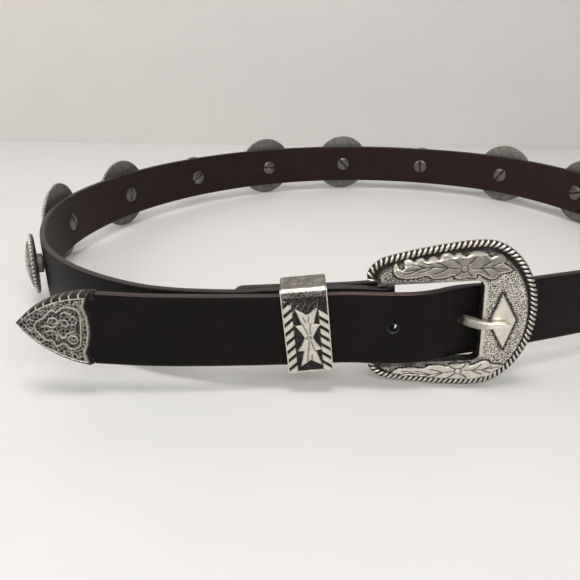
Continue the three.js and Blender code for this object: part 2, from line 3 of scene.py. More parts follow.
import bpy
import bmesh
import numpy as np
from bpy.props import FloatProperty, FloatVectorProperty, IntProperty, PointerProperty
from bpy.types import Operator, Panel, PropertyGroup
from mathutils import Matrix, Vector


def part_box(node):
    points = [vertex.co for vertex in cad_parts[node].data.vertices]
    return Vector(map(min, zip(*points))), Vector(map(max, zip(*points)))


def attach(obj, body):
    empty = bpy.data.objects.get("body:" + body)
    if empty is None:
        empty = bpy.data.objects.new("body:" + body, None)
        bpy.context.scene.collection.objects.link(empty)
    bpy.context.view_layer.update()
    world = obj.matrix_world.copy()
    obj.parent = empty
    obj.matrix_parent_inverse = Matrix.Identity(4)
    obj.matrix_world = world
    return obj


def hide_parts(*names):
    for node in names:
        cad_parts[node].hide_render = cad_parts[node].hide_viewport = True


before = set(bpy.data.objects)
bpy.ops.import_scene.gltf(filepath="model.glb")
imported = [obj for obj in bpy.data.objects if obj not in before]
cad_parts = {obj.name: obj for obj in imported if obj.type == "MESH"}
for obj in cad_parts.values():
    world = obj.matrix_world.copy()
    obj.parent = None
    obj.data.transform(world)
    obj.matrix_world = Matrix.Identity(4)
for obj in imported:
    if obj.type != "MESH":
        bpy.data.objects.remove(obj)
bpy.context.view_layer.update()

bl_info = {
    "name": "Western belt",
    "version": (1, 0, 0),
    "blender": (4, 5, 0),
    "location": "3D View > Sidebar > Belt",
    "description": "A fastened leather belt with an engraved buckle, keeper, tip and conchos",
    "category": "Add Mesh",
}

# Every size below is in millimetres, and a piece's mesh is made in metres

MM = 0.001

# Course of the strap, seen from above, with the height of its middle

TOGETHER = [
    (-21, -130.1, 23.85),
    (-33, -130.4, 23.3),
    (-45, -130.9, 23),
    (-57, -131.0, 22.3),
]
LOOP = [
    (-87.5, -123.8, 20.6),
    (-119.9, -101.9, 19.6),
    (-141, -71, 19.2),
    (-151.6, -18.4, 19.1),
    (-137, 38, 19.1),
    (-103, 86.5, 19.1),
    (-55.2, 121, 19.1),
    (2.4, 137.2, 19.1),
    (57.6, 131.6, 19.1),
    (107, 107, 19.1),
    (139, 60, 19.1),
    (151, 13, 19.1),
    (148, -26, 19.5),
    (132, -61.5, 20.4),
    (104, -88.8, 21.3),
    (72, -106, 22.05),
    (42, -117.8, 22.5),
]
LAYER_STEP = 2.75
BILLET_DROP = 0.85
BILLET = [
    (30, -122.8, 22.8),
    (21, -125.6, 23.2),
    (14, -128.1, 23.4),
    (8, -131, 23.35),
    (1, -132.9, 23.2),
    (-9, -133.3, 23.1),
    *[(x, y - LAYER_STEP, z - BILLET_DROP) for x, y, z in TOGETHER[:3]],
    (-66, -135.6, 22.55),
    (-84, -136.6, 23),
    (-99.5, -136.9, 23.8),
]
TIP_DIRECTION = np.array([-25, 0.2, 2.6]) / np.linalg.norm([-25, 0.2, 2.6])
TIP_LEAN = -math.atan2(TIP_DIRECTION[2], -TIP_DIRECTION[0])
FREE_END_Y = -133.5

HALF_WIDTH = 12.5
HALF_THICKNESS = 1.2
GAP = 0.3
FOLD_CORNER = 4.0
HOLE_RADIUS = 1.9
HOLE_SPACING = 25.0
PRONG_HOLE_X = 18.8
HOLE_RISE = 0.6

BUCKLE_X = 16.2
BUCKLE_Z = 25.75
BUCKLE_TILT = math.radians(4)
FRONT_Y = -131.6
FRAME_DEPTH = 4.4
FRAME_RECESS = 2.2
OPENING_TOP = 13.2
OPENING_BOTTOM = 15.4
OPENING_RIGHT = 6.4
OPENING_CORNER = 2.5

BAR_X = -8.8
BAR_Z = 23.5
BAR_RADIUS = 1.4
BODY_AT_BAR_Y = -129.95
WRAP_RADIUS = BAR_RADIUS + GAP + 0.15 + HALF_THICKNESS
BAR_Y = BODY_AT_BAR_Y + WRAP_RADIUS

CONCHOS = ["small", "big", "big", "small", "big", "big", "small", "big", "big", "small"]
CONCHO_RADIUS = {"big": 19.2, "small": 12.5}
CONCHO_FIRST = 158.0
CONCHO_SPACING = 57.4
CONCHO_HEIGHT = 19.2 * math.cos(math.pi / 20)
CONCHO_SEAT = HALF_THICKNESS + GAP
CONCHO_STANDOFF = 2.5

TIP_LENGTH = 23.5
TIP_OGIVE = 25.0
TIP_HALF = 12.5


def frame_shift():
    """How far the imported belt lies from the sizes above, found at a hidden stud whose place is known."""
    low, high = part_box("fold_stud_1")
    x, y, z = TOGETHER[0]
    return np.array((low + high) / 2) / MM - np.array([x, y + 1.975, z])


SHIFT = frame_shift()


# Sizes and colours that a user would change

class BeltSizes(PropertyGroup):
    """Sizes of the fine work, in metres."""

    rope_radius: FloatProperty(
        name="Rope radius", description="Half the thickness of the buckle's rope edge",
        default=0.0011, unit="LENGTH")
    rope_pitch: FloatProperty(
        name="Rope pitch", description="Step from one strand of the rope edge to the next",
        default=0.0017, unit="LENGTH")
    concho_rope_radius: FloatProperty(
        name="Concho rope radius", description="Half the thickness of a concho's rope edge",
        default=0.0009, unit="LENGTH")
    screw_radius: FloatProperty(
        name="Screw head radius", description="Radius of the screw heads inside the strap",
        default=0.0044, unit="LENGTH")
    stipple_size: FloatProperty(
        name="Stipple size", description="Distance between the punched dots of the buckle's ground",
        default=0.00062, unit="LENGTH")
    petals: IntProperty(
        name="Petals", description="Petals round the middle of each concho", default=12)


class BeltColours(PropertyGroup):
    """Colours of the finishes."""

    leather: FloatVectorProperty(
        name="Leather", description="Dyed grain side of the strap",
        default=(0.0062, 0.005, 0.0048), subtype="COLOR", size=3, min=0, max=1)
    flesh: FloatVectorProperty(
        name="Leather inside", description="Suede-like inner side of the strap",
        default=(0.014, 0.0068, 0.0056), subtype="COLOR", size=3, min=0, max=1)
    raw_edge: FloatVectorProperty(
        name="Raw edge", description="Worn edge of the strap where the dye has rubbed off",
        default=(0.11, 0.065, 0.052), subtype="COLOR", size=3, min=0, max=1)
    silver: FloatVectorProperty(
        name="Silver", description="Bright metal of the raised work",
        default=(0.83, 0.775, 0.69), subtype="COLOR", size=3, min=0, max=1)
    tarnish: FloatVectorProperty(
        name="Tarnish", description="Dark film left in the recesses of the metal",
        default=(0.016, 0.0135, 0.0115), subtype="COLOR", size=3, min=0, max=1)
    steel: FloatVectorProperty(
        name="Steel", description="Dull grey metal of the screw heads",
        default=(0.2, 0.19, 0.18), subtype="COLOR", size=3, min=0, max=1)


# Curves

def catmull_rom(points, steps=24, power=0.5, clamp=False):
    """A smooth line through points. Power 0.5 gives a centripetal line and 0 an even one."""
    points = np.asarray(points, float)
    first = points[0] if clamp else 2 * points[0] - points[1]
    last = points[-1] if clamp else 2 * points[-1] - points[-2]
    row = np.vstack([first, points, last])
    line = []
    for p0, p1, p2, p3 in zip(row, row[1:], row[2:], row[3:]):
        d0, d1, d2 = (max(np.linalg.norm(b - a), 1e-9) ** power for a, b in ((p0, p1), (p1, p2), (p2, p3)))
        t1 = ((p1 - p0) / d0 - (p2 - p0) / (d0 + d1) + (p2 - p1) / d1) * d1
        t2 = ((p2 - p1) / d1 - (p3 - p1) / (d1 + d2) + (p3 - p2) / d2) * d1
        t = (np.arange(steps) / steps)[:, None]
        line.append(p1 + t1 * t + (3 * (p2 - p1) - 2 * t1 - t2) * t**2 + (2 * (p1 - p2) + t1 + t2) * t**3)
    return np.vstack(line + [points[-1:]])


def closed_line(points, steps=6):
    """A smooth closed line through points."""
    row = np.asarray(points, float)
    around = np.vstack([row[-1:], row, row[:2]])
    line = catmull_rom(around, steps, 0.5, clamp=True)
    return line[steps:-steps - 1]


class Course:
    """A line that is read by the distance along it."""

    def __init__(self, line):
        self.line = np.asarray(line, float)
        steps = np.linalg.norm(np.diff(self.line, axis=0), axis=1)
        self.run = np.concatenate([[0], np.cumsum(steps)])
        self.length = self.run[-1]

    def at(self, distance):
        distance = np.atleast_1d(distance)
        return np.stack([np.interp(distance, self.run, column) for column in self.line.T], axis=1)

    def tangent(self, distance, reach=0.5):
        ahead = self.at(np.minimum(np.atleast_1d(distance) + reach, self.length))
        behind = self.at(np.maximum(np.atleast_1d(distance) - reach, 0))
        step = ahead - behind
        return step / np.linalg.norm(step, axis=1, keepdims=True)


def smooth(value):
    """A soft step from 0 to 1."""
    value = np.clip(value, 0, 1)
    return value * value * (3 - 2 * value)


def line_distance(points, line):
    """The distance from each of many flat points to a line of points."""
    points, line = np.asarray(points, float), np.asarray(line, float)
    start, step = line[:-1], np.diff(line, axis=0)
    square = np.maximum((step**2).sum(1), 1e-12)
    nearest = np.full(len(points), 1e9)
    for first in range(0, len(points), 8192):
        part = points[first:first + 8192, None] - start[None]
        share = np.clip((part * step).sum(2) / square, 0, 1)
        gap = part - share[..., None] * step
        nearest[first:first + 8192] = np.sqrt((gap**2).sum(2)).min(1)
    return nearest


def inside_depth(points, outline):
    """How deep each flat point lies inside a closed outline, below zero outside it."""
    points = np.asarray(points, float)
    ring = np.vstack([outline, outline[:1]])
    inside = np.zeros(len(points), bool)
    for (x0, y0), (x1, y1) in zip(ring, ring[1:]):
        if y0 == y1:
            continue
        crosses = (points[:, 1] < y0) != (points[:, 1] < y1)
        inside ^= crosses & (points[:, 0] < x0 + (points[:, 1] - y0) * (x1 - x0) / (y1 - y0))
    return np.where(inside, 1, -1) * line_distance(points, ring)


# Meshes

def grid_faces(rows, columns, close_rows=False, close_columns=True):
    """Quads between neighbouring rows of a grid of points."""
    row_steps = rows if close_rows else rows - 1
    column_steps = columns if close_columns else columns - 1
    r, c = np.meshgrid(np.arange(row_steps), np.arange(column_steps), indexing="ij")
    next_r, next_c = (r + 1) % rows, (c + 1) % columns
    here, beside = r * columns, next_r * columns
    quads = np.stack([here + c, here + next_c, beside + next_c, beside + c], -1)
    return quads.reshape(-1, 4)


def make_piece(name, points, faces, materials, face_material=None, sharp=35, **attributes):
    """A mesh object from points in millimetres, with its faces turned outwards."""
    mesh = bpy.data.meshes.new(name)
    place = (np.asarray(points, float).reshape(-1, 3) + SHIFT) * MM
    mesh.from_pydata(place.tolist(), [], [list(map(int, face)) for face in faces])
    for key, values in attributes.items():
        layer = mesh.attributes.new(key, "FLOAT", "POINT")
        layer.data.foreach_set("value", np.asarray(values, np.float32).ravel())
    for material in materials:
        mesh.materials.append(material)
    if face_material is not None:
        mesh.polygons.foreach_set("material_index", np.asarray(face_material, np.int32))
    finish_mesh(mesh, sharp)
    piece = bpy.data.objects.new(name, mesh)
    bpy.context.scene.collection.objects.link(piece)
    return piece


def finish_mesh(mesh, sharp=35):
    """Merges doubles, turns the faces outwards and smooths all but sharp edges."""
    work = bmesh.new()
    work.from_mesh(mesh)
    bmesh.ops.remove_doubles(work, verts=work.verts, dist=1e-7)
    bmesh.ops.dissolve_degenerate(work, edges=work.edges, dist=1e-8)
    bmesh.ops.recalc_face_normals(work, faces=work.faces)
    work.to_mesh(mesh)
    work.free()
    mesh.polygons.foreach_set("use_smooth", np.ones(len(mesh.polygons), bool))
    mesh.set_sharp_from_angle(angle=math.radians(sharp))
    mesh.update()


def skin(rings, close_rows=False):
    """Points and faces of a tube through rings, with a fan at each open end."""
    rings = np.asarray(rings, float)
    rows, columns = rings.shape[:2]
    points = rings.reshape(-1, 3)
    faces = [list(face) for face in grid_faces(rows, columns, close_rows)]
    if not close_rows:
        ends = (rings[0].mean(0), rings[-1].mean(0))
        for middle, start in zip(ends, (0, (rows - 1) * columns)):
            points = np.vstack([points, middle])
            hub = len(points) - 1
            faces += [[hub, start + c, start + (c + 1) % columns] for c in range(columns)]
    return points, faces


def joined(*bodies):
    """One list of points and faces from several."""
    points, faces, start = [], [], 0
    for body_points, body_faces in bodies:
        points.append(np.asarray(body_points, float).reshape(-1, 3))
        faces += [[start + i for i in face] for face in body_faces]
        start += len(points[-1])
    return np.vstack(points), faces


def round_bar(start, end, radius, sides=24, bevel=0.3):
    """A straight round bar with eased ends."""
    start, end = np.asarray(start, float), np.asarray(end, float)
    along = (end - start) / np.linalg.norm(end - start)
    side = np.cross(along, [0, 0, 1]) if abs(along[2]) < 0.9 else np.cross(along, [0, 1, 0])
    side /= np.linalg.norm(side)
    other = np.cross(along, side)
    turn = 2 * np.pi * np.arange(sides) / sides
    ring = np.cos(turn)[:, None] * side + np.sin(turn)[:, None] * other
    stops = [(start, radius - bevel), (start + along * bevel, radius),
             (end - along * bevel, radius), (end, radius - bevel)]
    return skin([place + ring * size for place, size in stops])


def cut(piece, points, faces, lining=None, **attributes):
    """Takes a closed body out of a piece, whose new walls may have a lining of their own."""
    cutter = make_piece("cutter", points, faces, [lining] if lining else [], **attributes)
    change = piece.modifiers.new("Cut", "BOOLEAN")
    change.operation = "DIFFERENCE"
    change.solver = "EXACT"
    change.object = cutter
    made = bpy.data.meshes.new_from_object(piece.evaluated_get(bpy.context.evaluated_depsgraph_get()))
    piece.modifiers.remove(change)
    piece.data = made
    bpy.data.objects.remove(cutter)


def settle(piece, slot, *nodes):
    """Fixes a finished piece to the belt's one body."""
    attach(piece, "root")
    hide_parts(*nodes)
    return piece


# Shader nodes

def feed(tree, socket, value):
    """Links an output to a socket, or sets the socket's own value."""
    if isinstance(value, bpy.types.NodeSocket):
        tree.links.new(value, socket)
    elif value is not None:
        socket.default_value = value


def add_node(tree, kind, inputs=None, **settings):
    """Adds a node with its settings and its inputs, by name or number."""
    made = tree.nodes.new(kind)
    for key, value in settings.items():
        setattr(made, key, value)
    for key, value in (inputs or {}).items():
        feed(tree, made.inputs[key], value)
    return made


def maths(tree, operation, first, second=None, third=None, clamp=False):
    inputs = {0: first, 1: second, 2: third}
    inputs = {key: value for key, value in inputs.items() if value is not None}
    return add_node(tree, "ShaderNodeMath", inputs, operation=operation, use_clamp=clamp).outputs[0]


def span(tree, value, low, high, to_low=0.0, to_high=1.0):
    """Maps a range of a value to another range, and clamps it."""
    inputs = {"Value": value, "From Min": low, "From Max": high, "To Min": to_low, "To Max": to_high}
    return add_node(tree, "ShaderNodeMapRange", inputs, clamp=True).outputs[0]


def blend(tree, share, first, second):
    """A mix of two colours."""
    made = add_node(tree, "ShaderNodeMix", data_type="RGBA", clamp_factor=True)
    feed(tree, made.inputs[0], share)
    feed(tree, made.inputs[6], (*first, 1) if isinstance(first, tuple) else first)
    feed(tree, made.inputs[7], (*second, 1) if isinstance(second, tuple) else second)
    return made.outputs[2]


def attribute(tree, name):
    return add_node(tree, "ShaderNodeAttribute", attribute_name=name).outputs["Fac"]


def object_place(tree):
    return add_node(tree, "ShaderNodeTexCoord").outputs["Object"]


def noise(tree, place, size, detail=3.0, roughness=0.55):
    """Noise whose marks are about as large as size, in metres."""
    inputs = {"Vector": place, "Scale": 1 / size, "Detail": detail, "Roughness": roughness}
    return add_node(tree, "ShaderNodeTexNoise", inputs).outputs[0]


def new_group(name, inputs, outputs):
    """An empty shader group, with its named inputs and outputs, and its two end nodes."""
    tree = bpy.data.node_groups.new(name, "ShaderNodeTree")
    for key, value in inputs.items():
        kind = "NodeSocketVector" if value is None else "NodeSocketFloat"
        socket = tree.interface.new_socket(name=key, in_out="INPUT", socket_type=kind)
        if value is not None:
            socket.default_value = value
    for key in outputs:
        tree.interface.new_socket(name=key, in_out="OUTPUT", socket_type="NodeSocketFloat")
    return tree, tree.nodes.new("NodeGroupInput"), tree.nodes.new("NodeGroupOutput")


def stipple_group():
    """Punched dots: a height for bump and a mask of their dark bottoms."""
    tree, source, result = new_group("Stipple", {"Place": None, "Size": 0.0007}, ["Height", "Dark"])
    scale = maths(tree, "DIVIDE", 1.0, source.outputs["Size"])
    inputs = {"Vector": source.outputs["Place"], "Scale": scale, "Randomness": 0.7}
    cells = add_node(tree, "ShaderNodeTexVoronoi", inputs)
    dot = span(tree, cells.outputs["Distance"], 0.2, 0.6)
    broad = noise(tree, source.outputs["Place"], 0.004, 2.0)
    depth = maths(tree, "MULTIPLY", dot, span(tree, broad, 0.3, 0.6, 0.6, 1.0))
    feed(tree, result.inputs["Height"], depth)
    dark = span(tree, cells.outputs["Distance"], 0.5, 0.26)
    feed(tree, result.inputs["Dark"], maths(tree, "MULTIPLY", dark, span(tree, broad, 0.35, 0.65, 1.0, 0.7)))
    return tree


def patina_group():
    """Blotches of tarnish and fine scratches on old silver."""
    tree, source, result = new_group("Patina", {"Place": None, "Recess": 0.0}, ["Dark", "Height", "Rough"])
    place = source.outputs["Place"]
    cloudy = noise(tree, place, 0.0032, 4.0, 0.62)
    fine = noise(tree, place, 0.00035, 3.0, 0.6)
    spread = maths(tree, "MULTIPLY_ADD", cloudy, 0.55, -0.22)
    speck = span(tree, fine, 0.56, 0.72, 0.0, 0.35)
    dark = maths(tree, "ADD", maths(tree, "ADD", source.outputs["Recess"], spread), speck, clamp=True)
    feed(tree, result.inputs["Dark"], dark)
    feed(tree, result.inputs["Height"], maths(tree, "ADD", fine, maths(tree, "MULTIPLY", cloudy, 0.5)))
    feed(tree, result.inputs["Rough"], span(tree, cloudy, 0.3, 0.7, 0.27, 0.42))
    return tree


def hide_grain_group():
    """Pebbled grain, pores and long creases of leather."""
    tree, source, result = new_group("Hide grain", {"Place": None, "Size": 0.0006}, ["Height", "Shade"])
    place = source.outputs["Place"]
    scale = maths(tree, "DIVIDE", 1.0, source.outputs["Size"])
    inputs = {"Vector": place, "Scale": scale}
    cells = add_node(tree, "ShaderNodeTexVoronoi", inputs, feature="DISTANCE_TO_EDGE")
    pebbles = span(tree, cells.outputs["Distance"], 0.0, 0.22)
    soft = noise(tree, place, 0.0022, 4.0, 0.6)
    broad = noise(tree, place, 0.016, 3.0, 0.55)
    height = maths(tree, "MULTIPLY_ADD", pebbles, 0.45, maths(tree, "MULTIPLY", soft, 0.8))
    feed(tree, result.inputs["Height"], height)
    shade = maths(tree, "MULTIPLY_ADD", broad, 0.7, maths(tree, "MULTIPLY", soft, 0.3))
    feed(tree, result.inputs["Shade"], shade)
    return tree


def group_node(tree, name, make, **inputs):
    """Places a shader group, which is made the first time."""
    made = add_node(tree, "ShaderNodeGroup")
    made.node_tree = bpy.data.node_groups.get(name) or make()
    for key, value in inputs.items():
        feed(tree, made.inputs[key], value)
    return made.outputs


def new_material(name):
    material = bpy.data.materials.new(name)
    material.use_nodes = True
    return material, material.node_tree, material.node_tree.nodes["Principled BSDF"]


def bump(tree, height, distance, strength=1.0, normal=None):
    inputs = {"Height": height, "Distance": distance, "Strength": strength, "Normal": normal}
    return add_node(tree, "ShaderNodeBump", inputs).outputs[0]


def silver_material(name, stippled=False, brightness=1.0):
    """Antique silver, bright where it is raised and dark in its recesses."""
    colours, sizes = bpy.context.scene.belt_colours, bpy.context.scene.belt_sizes
    material, tree, shader = new_material(name)
    place = object_place(tree)
    recess = attribute(tree, "recess")
    patina = group_node(tree, "Patina", patina_group, Place=place, Recess=recess)
    dark = patina["Dark"]
    normal = bump(tree, patina["Height"], 0.00003, 0.5)
    if stippled:
        dots = group_node(tree, "Stipple", stipple_group, Place=place, Size=sizes.stipple_size)
        ground = attribute(tree, "ground")
        dark = maths(tree, "ADD", dark, maths(tree, "MULTIPLY", dots["Dark"], ground), clamp=True)
        normal = bump(tree, maths(tree, "MULTIPLY", dots["Height"], ground), 0.00022, 1.0, normal)
    bright = tuple(min(channel * brightness, 1) for channel in colours.silver)
    feed(tree, shader.inputs["Base Color"], blend(tree, dark, bright, tuple(colours.tarnish)))
    rough = maths(tree, "MULTIPLY_ADD", dark, 0.3, patina["Rough"], clamp=True)
    feed(tree, shader.inputs["Roughness"], rough)
    feed(tree, shader.inputs["Metallic"], span(tree, dark, 0.2, 1.0, 1.0, 0.55))
    feed(tree, shader.inputs["Normal"], normal)
    return material


def steel_material():
    """Dull plated steel with fine turning marks."""
    material, tree, shader = new_material("Screw steel")
    place = object_place(tree)
    patina = group_node(tree, "Patina", patina_group, Place=place, Recess=attribute(tree, "recess"))
    steel = tuple(bpy.context.scene.belt_colours.steel)
    feed(tree, shader.inputs["Base Color"], blend(tree, patina["Dark"], steel, (0.035, 0.03, 0.027)))
    feed(tree, shader.inputs["Roughness"], patina["Rough"])
    shader.inputs["Metallic"].default_value = 1.0
    feed(tree, shader.inputs["Normal"], bump(tree, patina["Height"], 0.00003, 0.6))
    return material


def leather_material():
    """Dyed and waxed grain side."""
    material, tree, shader = new_material("Strap grain side")
    grain = group_node(tree, "Hide grain", hide_grain_group, Place=object_place(tree), Size=0.00055)
    colour = tuple(bpy.context.scene.belt_colours.leather)
    worn = tuple(channel * 2.1 for channel in colour)
    rubbed = attribute(tree, "rubbed")
    share = maths(tree, "ADD", span(tree, grain["Shade"], 0.38, 0.72, 0.0, 0.6), rubbed, clamp=True)
    feed(tree, shader.inputs["Base Color"], blend(tree, share, colour, worn))
    feed(tree, shader.inputs["Roughness"], span(tree, grain["Shade"], 0.3, 0.7, 0.4, 0.54))
    feed(tree, shader.inputs["Normal"], bump(tree, grain["Height"], 0.00006, 0.8))
    shader.inputs["Specular IOR Level"].default_value = 0.07
    return material


def flesh_material():
    """Napped inner side of the strap."""
    material, tree, shader = new_material("Strap flesh side")
    place = object_place(tree)
    fibres = noise(tree, place, 0.0004, 5.0, 0.7)
    broad = noise(tree, place, 0.009, 3.0, 0.6)
    colour = tuple(bpy.context.scene.belt_colours.flesh)
    pale = tuple(channel * 1.9 for channel in colour)
    nap = maths(tree, "MULTIPLY_ADD", fibres, 0.5, -0.35)
    share = maths(tree, "MULTIPLY_ADD", broad, 0.9, nap, clamp=True)
    feed(tree, shader.inputs["Base Color"], blend(tree, share, colour, pale))
    feed(tree, shader.inputs["Normal"], bump(tree, fibres, 0.00012, 0.8))
    shader.inputs["Roughness"].default_value = 0.74
    shader.inputs["Specular IOR Level"].default_value = 0.12
    shader.inputs["Sheen Weight"].default_value = 0.06
    return material


def edge_material():
    """Cut edge of the strap, dyed and rubbed pale in places."""
    material, tree, shader = new_material("Strap cut edge")
    place = object_place(tree)
    layers = noise(tree, place, 0.0007, 4.0, 0.7)
    broad = noise(tree, place, 0.007, 3.0, 0.6)
    colours = bpy.context.scene.belt_colours
    share = maths(tree, "MULTIPLY", attribute(tree, "raw"), span(tree, layers, 0.34, 0.6, 0.25, 1.0))
    share = maths(tree, "MULTIPLY", share, span(tree, broad, 0.25, 0.55, 0.6, 1.0), clamp=True)
    dyed = (0.012, 0.0095, 0.009)
    feed(tree, shader.inputs["Base Color"], blend(tree, share, dyed, tuple(colours.raw_edge)))
    feed(tree, shader.inputs["Normal"], bump(tree, layers, 0.00015, 0.8))
    feed(tree, shader.inputs["Roughness"], span(tree, share, 0.0, 1.0, 0.42, 0.75))
    return material


# Strap

def lean_at(place):
    """How far the strap's section leans left with the buckle, or with the tip at the free end, in radians."""
    x, y = place[:, 0], place[:, 1]
    left_fade = smooth((x + 100) / 40)
    far_lean = np.where(y < FREE_END_Y, TIP_LEAN, 0)
    lean = (BUCKLE_TILT * left_fade + far_lean * (1 - left_fade)) * (1 - smooth((x - 24) / 46))
    return np.where(y > -100, 0, lean)


def fold_course():
    behind = [(x, y + LAYER_STEP, z) for x, y, z in reversed(TOGETHER)]
    behind.append((BAR_X - 6, BAR_Y + WRAP_RADIUS - 1.5, BAR_Z))
    behind.append((BAR_X, BAR_Y + WRAP_RADIUS, BAR_Z))
    return Course(catmull_rom(behind))


def body_course():
    return Course(catmull_rom([(BAR_X, BODY_AT_BAR_Y, BAR_Z), *TOGETHER, *LOOP, *BILLET]))


BODY = body_course()
TIP_POINT = BODY.line[-1] + TIP_DIRECTION * (TIP_LENGTH + GAP)


def tip_half(from_point):
    """Half the metal tip's height at a distance from its point, where two arcs meet."""
    arc = (TIP_OGIVE**2 + TIP_HALF**2) / (2 * TIP_HALF)
    run = np.maximum(TIP_OGIVE - np.asarray(from_point, float), 0)
    return np.sqrt(arc * arc - run * run) - (arc - TIP_HALF)


def strap_stations():
    """Middle and half height for each section of the strap."""
    fold = fold_course()
    corner = FOLD_CORNER * (1 - np.cos(np.linspace(0, np.pi / 2, 10)))
    starts = np.concatenate([corner, np.arange(5, fold.length, 1.5)])
    left = FOLD_CORNER - np.minimum(starts, FOLD_CORNER)
    fold_half = HALF_WIDTH - FOLD_CORNER + np.sqrt(FOLD_CORNER**2 - left**2)
    turn = np.linspace(np.pi / 2, -np.pi / 2, 22)
    wrap_x, wrap_y = BAR_X + WRAP_RADIUS * np.cos(turn), BAR_Y + WRAP_RADIUS * np.sin(turn)
    wrap = np.stack([wrap_x, wrap_y, np.full(len(turn), BAR_Z)], 1)
    steps = np.linspace(0, BODY.length, int(BODY.length / 1.7))[1:]
    hidden = np.array([TIP_LENGTH + GAP / 2, 21.5, 19, 15, 12, 9])
    inside = TIP_POINT - hidden[:, None] * TIP_DIRECTION
    middles = np.vstack([fold.at(starts), wrap, BODY.at(steps), inside])
    wrap_half = np.full(len(wrap) + len(steps), HALF_WIDTH)
    halves = np.concatenate([fold_half, wrap_half, tip_half(hidden) - 1.7])
    return middles, halves


# Finishes round the strap's section, numbered as its materials are
GRAIN_SIDE, CUT_EDGE, FLESH_SIDE = 0, 1, 2

# How far the strap's faces stop short of its cut edges, and how much they thin towards them
EDGE_EASE = 0.45
FACE_CROWN = 0.1


def section_rows():
    """Rows round the strap's section.

    Each row has its side in millimetres, its rise as a share of the half height, its drop in millimetres
    and its finish.
    """
    rows = []
    face = np.linspace(1, -1, 19)
    for rise in face:
        rows.append((-HALF_THICKNESS + FACE_CROWN * abs(rise) ** 6, rise, EDGE_EASE, GRAIN_SIDE))
    edge = [(-0.92, 0.12), (-0.5, 0.0), (0.0, 0.02), (0.5, 0.0), (0.92, 0.12)]
    rows += [(side, -1, drop, CUT_EDGE) for side, drop in edge]
    for rise in -face:
        rows.append((HALF_THICKNESS - FACE_CROWN * abs(rise) ** 6, rise, EDGE_EASE, FLESH_SIDE))
    rows += [(-side, 1, drop, CUT_EDGE) for side, drop in edge]
    return rows


def section_height(halves, rise, drop, finish):
    """How high one row of the section lies at every station of the strap."""
    reach = halves - EDGE_EASE
    if finish == CUT_EDGE:
        return np.sign(rise) * (abs(rise) * reach + (EDGE_EASE - drop))
    return rise * reach


def concho_places():
    """Kind, middle, outward direction and sideways direction of each concho."""
    places = []
    for number, kind in enumerate(CONCHOS):
        run = CONCHO_FIRST + number * CONCHO_SPACING
        middle = BODY.at(run)[0]
        middle[2] = CONCHO_HEIGHT
        along = BODY.tangent(run)[0] * [1, 1, 0]
        along /= np.linalg.norm(along)
        outward = np.array([along[1], -along[0], 0])
        if outward @ middle < 0:
            outward = -outward
        places.append((kind, middle, outward, np.cross(outward, [0, 0, 1])))
    return places


PRONG_RADIUS = 1.25
PRONG_SLOT_HALF = (5.5, 5, 1.85)

# The prong's course on the tilted buckle: along, in depth and up
PRONG_ROWS = [
    (-22.2, -126.9, -0.2),
    (-15.3, -126.9, -0.7),
    (-9.3, -126.3, -1.1),
    (-4.3, -126, -1.45),
    (1, -127.8, -1.75),
    (3.7, -131, -1.5),
    (5.7, -133.3, -1.3),
    (8.2, -134.1, -1.2),
    (11.2, -134.2, -1.25),
    (14, -134.1, -1.4),
]


def prong_course():
    return Course(on_buckle(*catmull_rom(PRONG_ROWS).T))


def on_buckle(along, depth, rise):
    """Points given along, in depth and up the tilted buckle."""
    along, depth, rise = (np.asarray(values, float) for values in (along, depth, rise))
    x = BUCKLE_X + along * math.cos(BUCKLE_TILT) - rise * math.sin(BUCKLE_TILT)
    z = BUCKLE_Z + along * math.sin(BUCKLE_TILT) + rise * math.cos(BUCKLE_TILT)
    return np.stack(np.broadcast_arrays(x, depth, z), -1)


def tube_along(course, radius, sides=16, steps=60):
    """A round body along a course that lies level."""
    runs = np.linspace(0, course.length, steps)
    places, along = course.at(runs), course.tangent(runs)
    up = np.array([0, 0, 1.0])
    side = np.cross(along, up)
    turn = 2 * np.pi * np.arange(sides) / sides
    return skin([place + radius * (np.cos(turn)[:, None] * across + np.sin(turn)[:, None] * up)
                 for place, across in zip(places, side)])


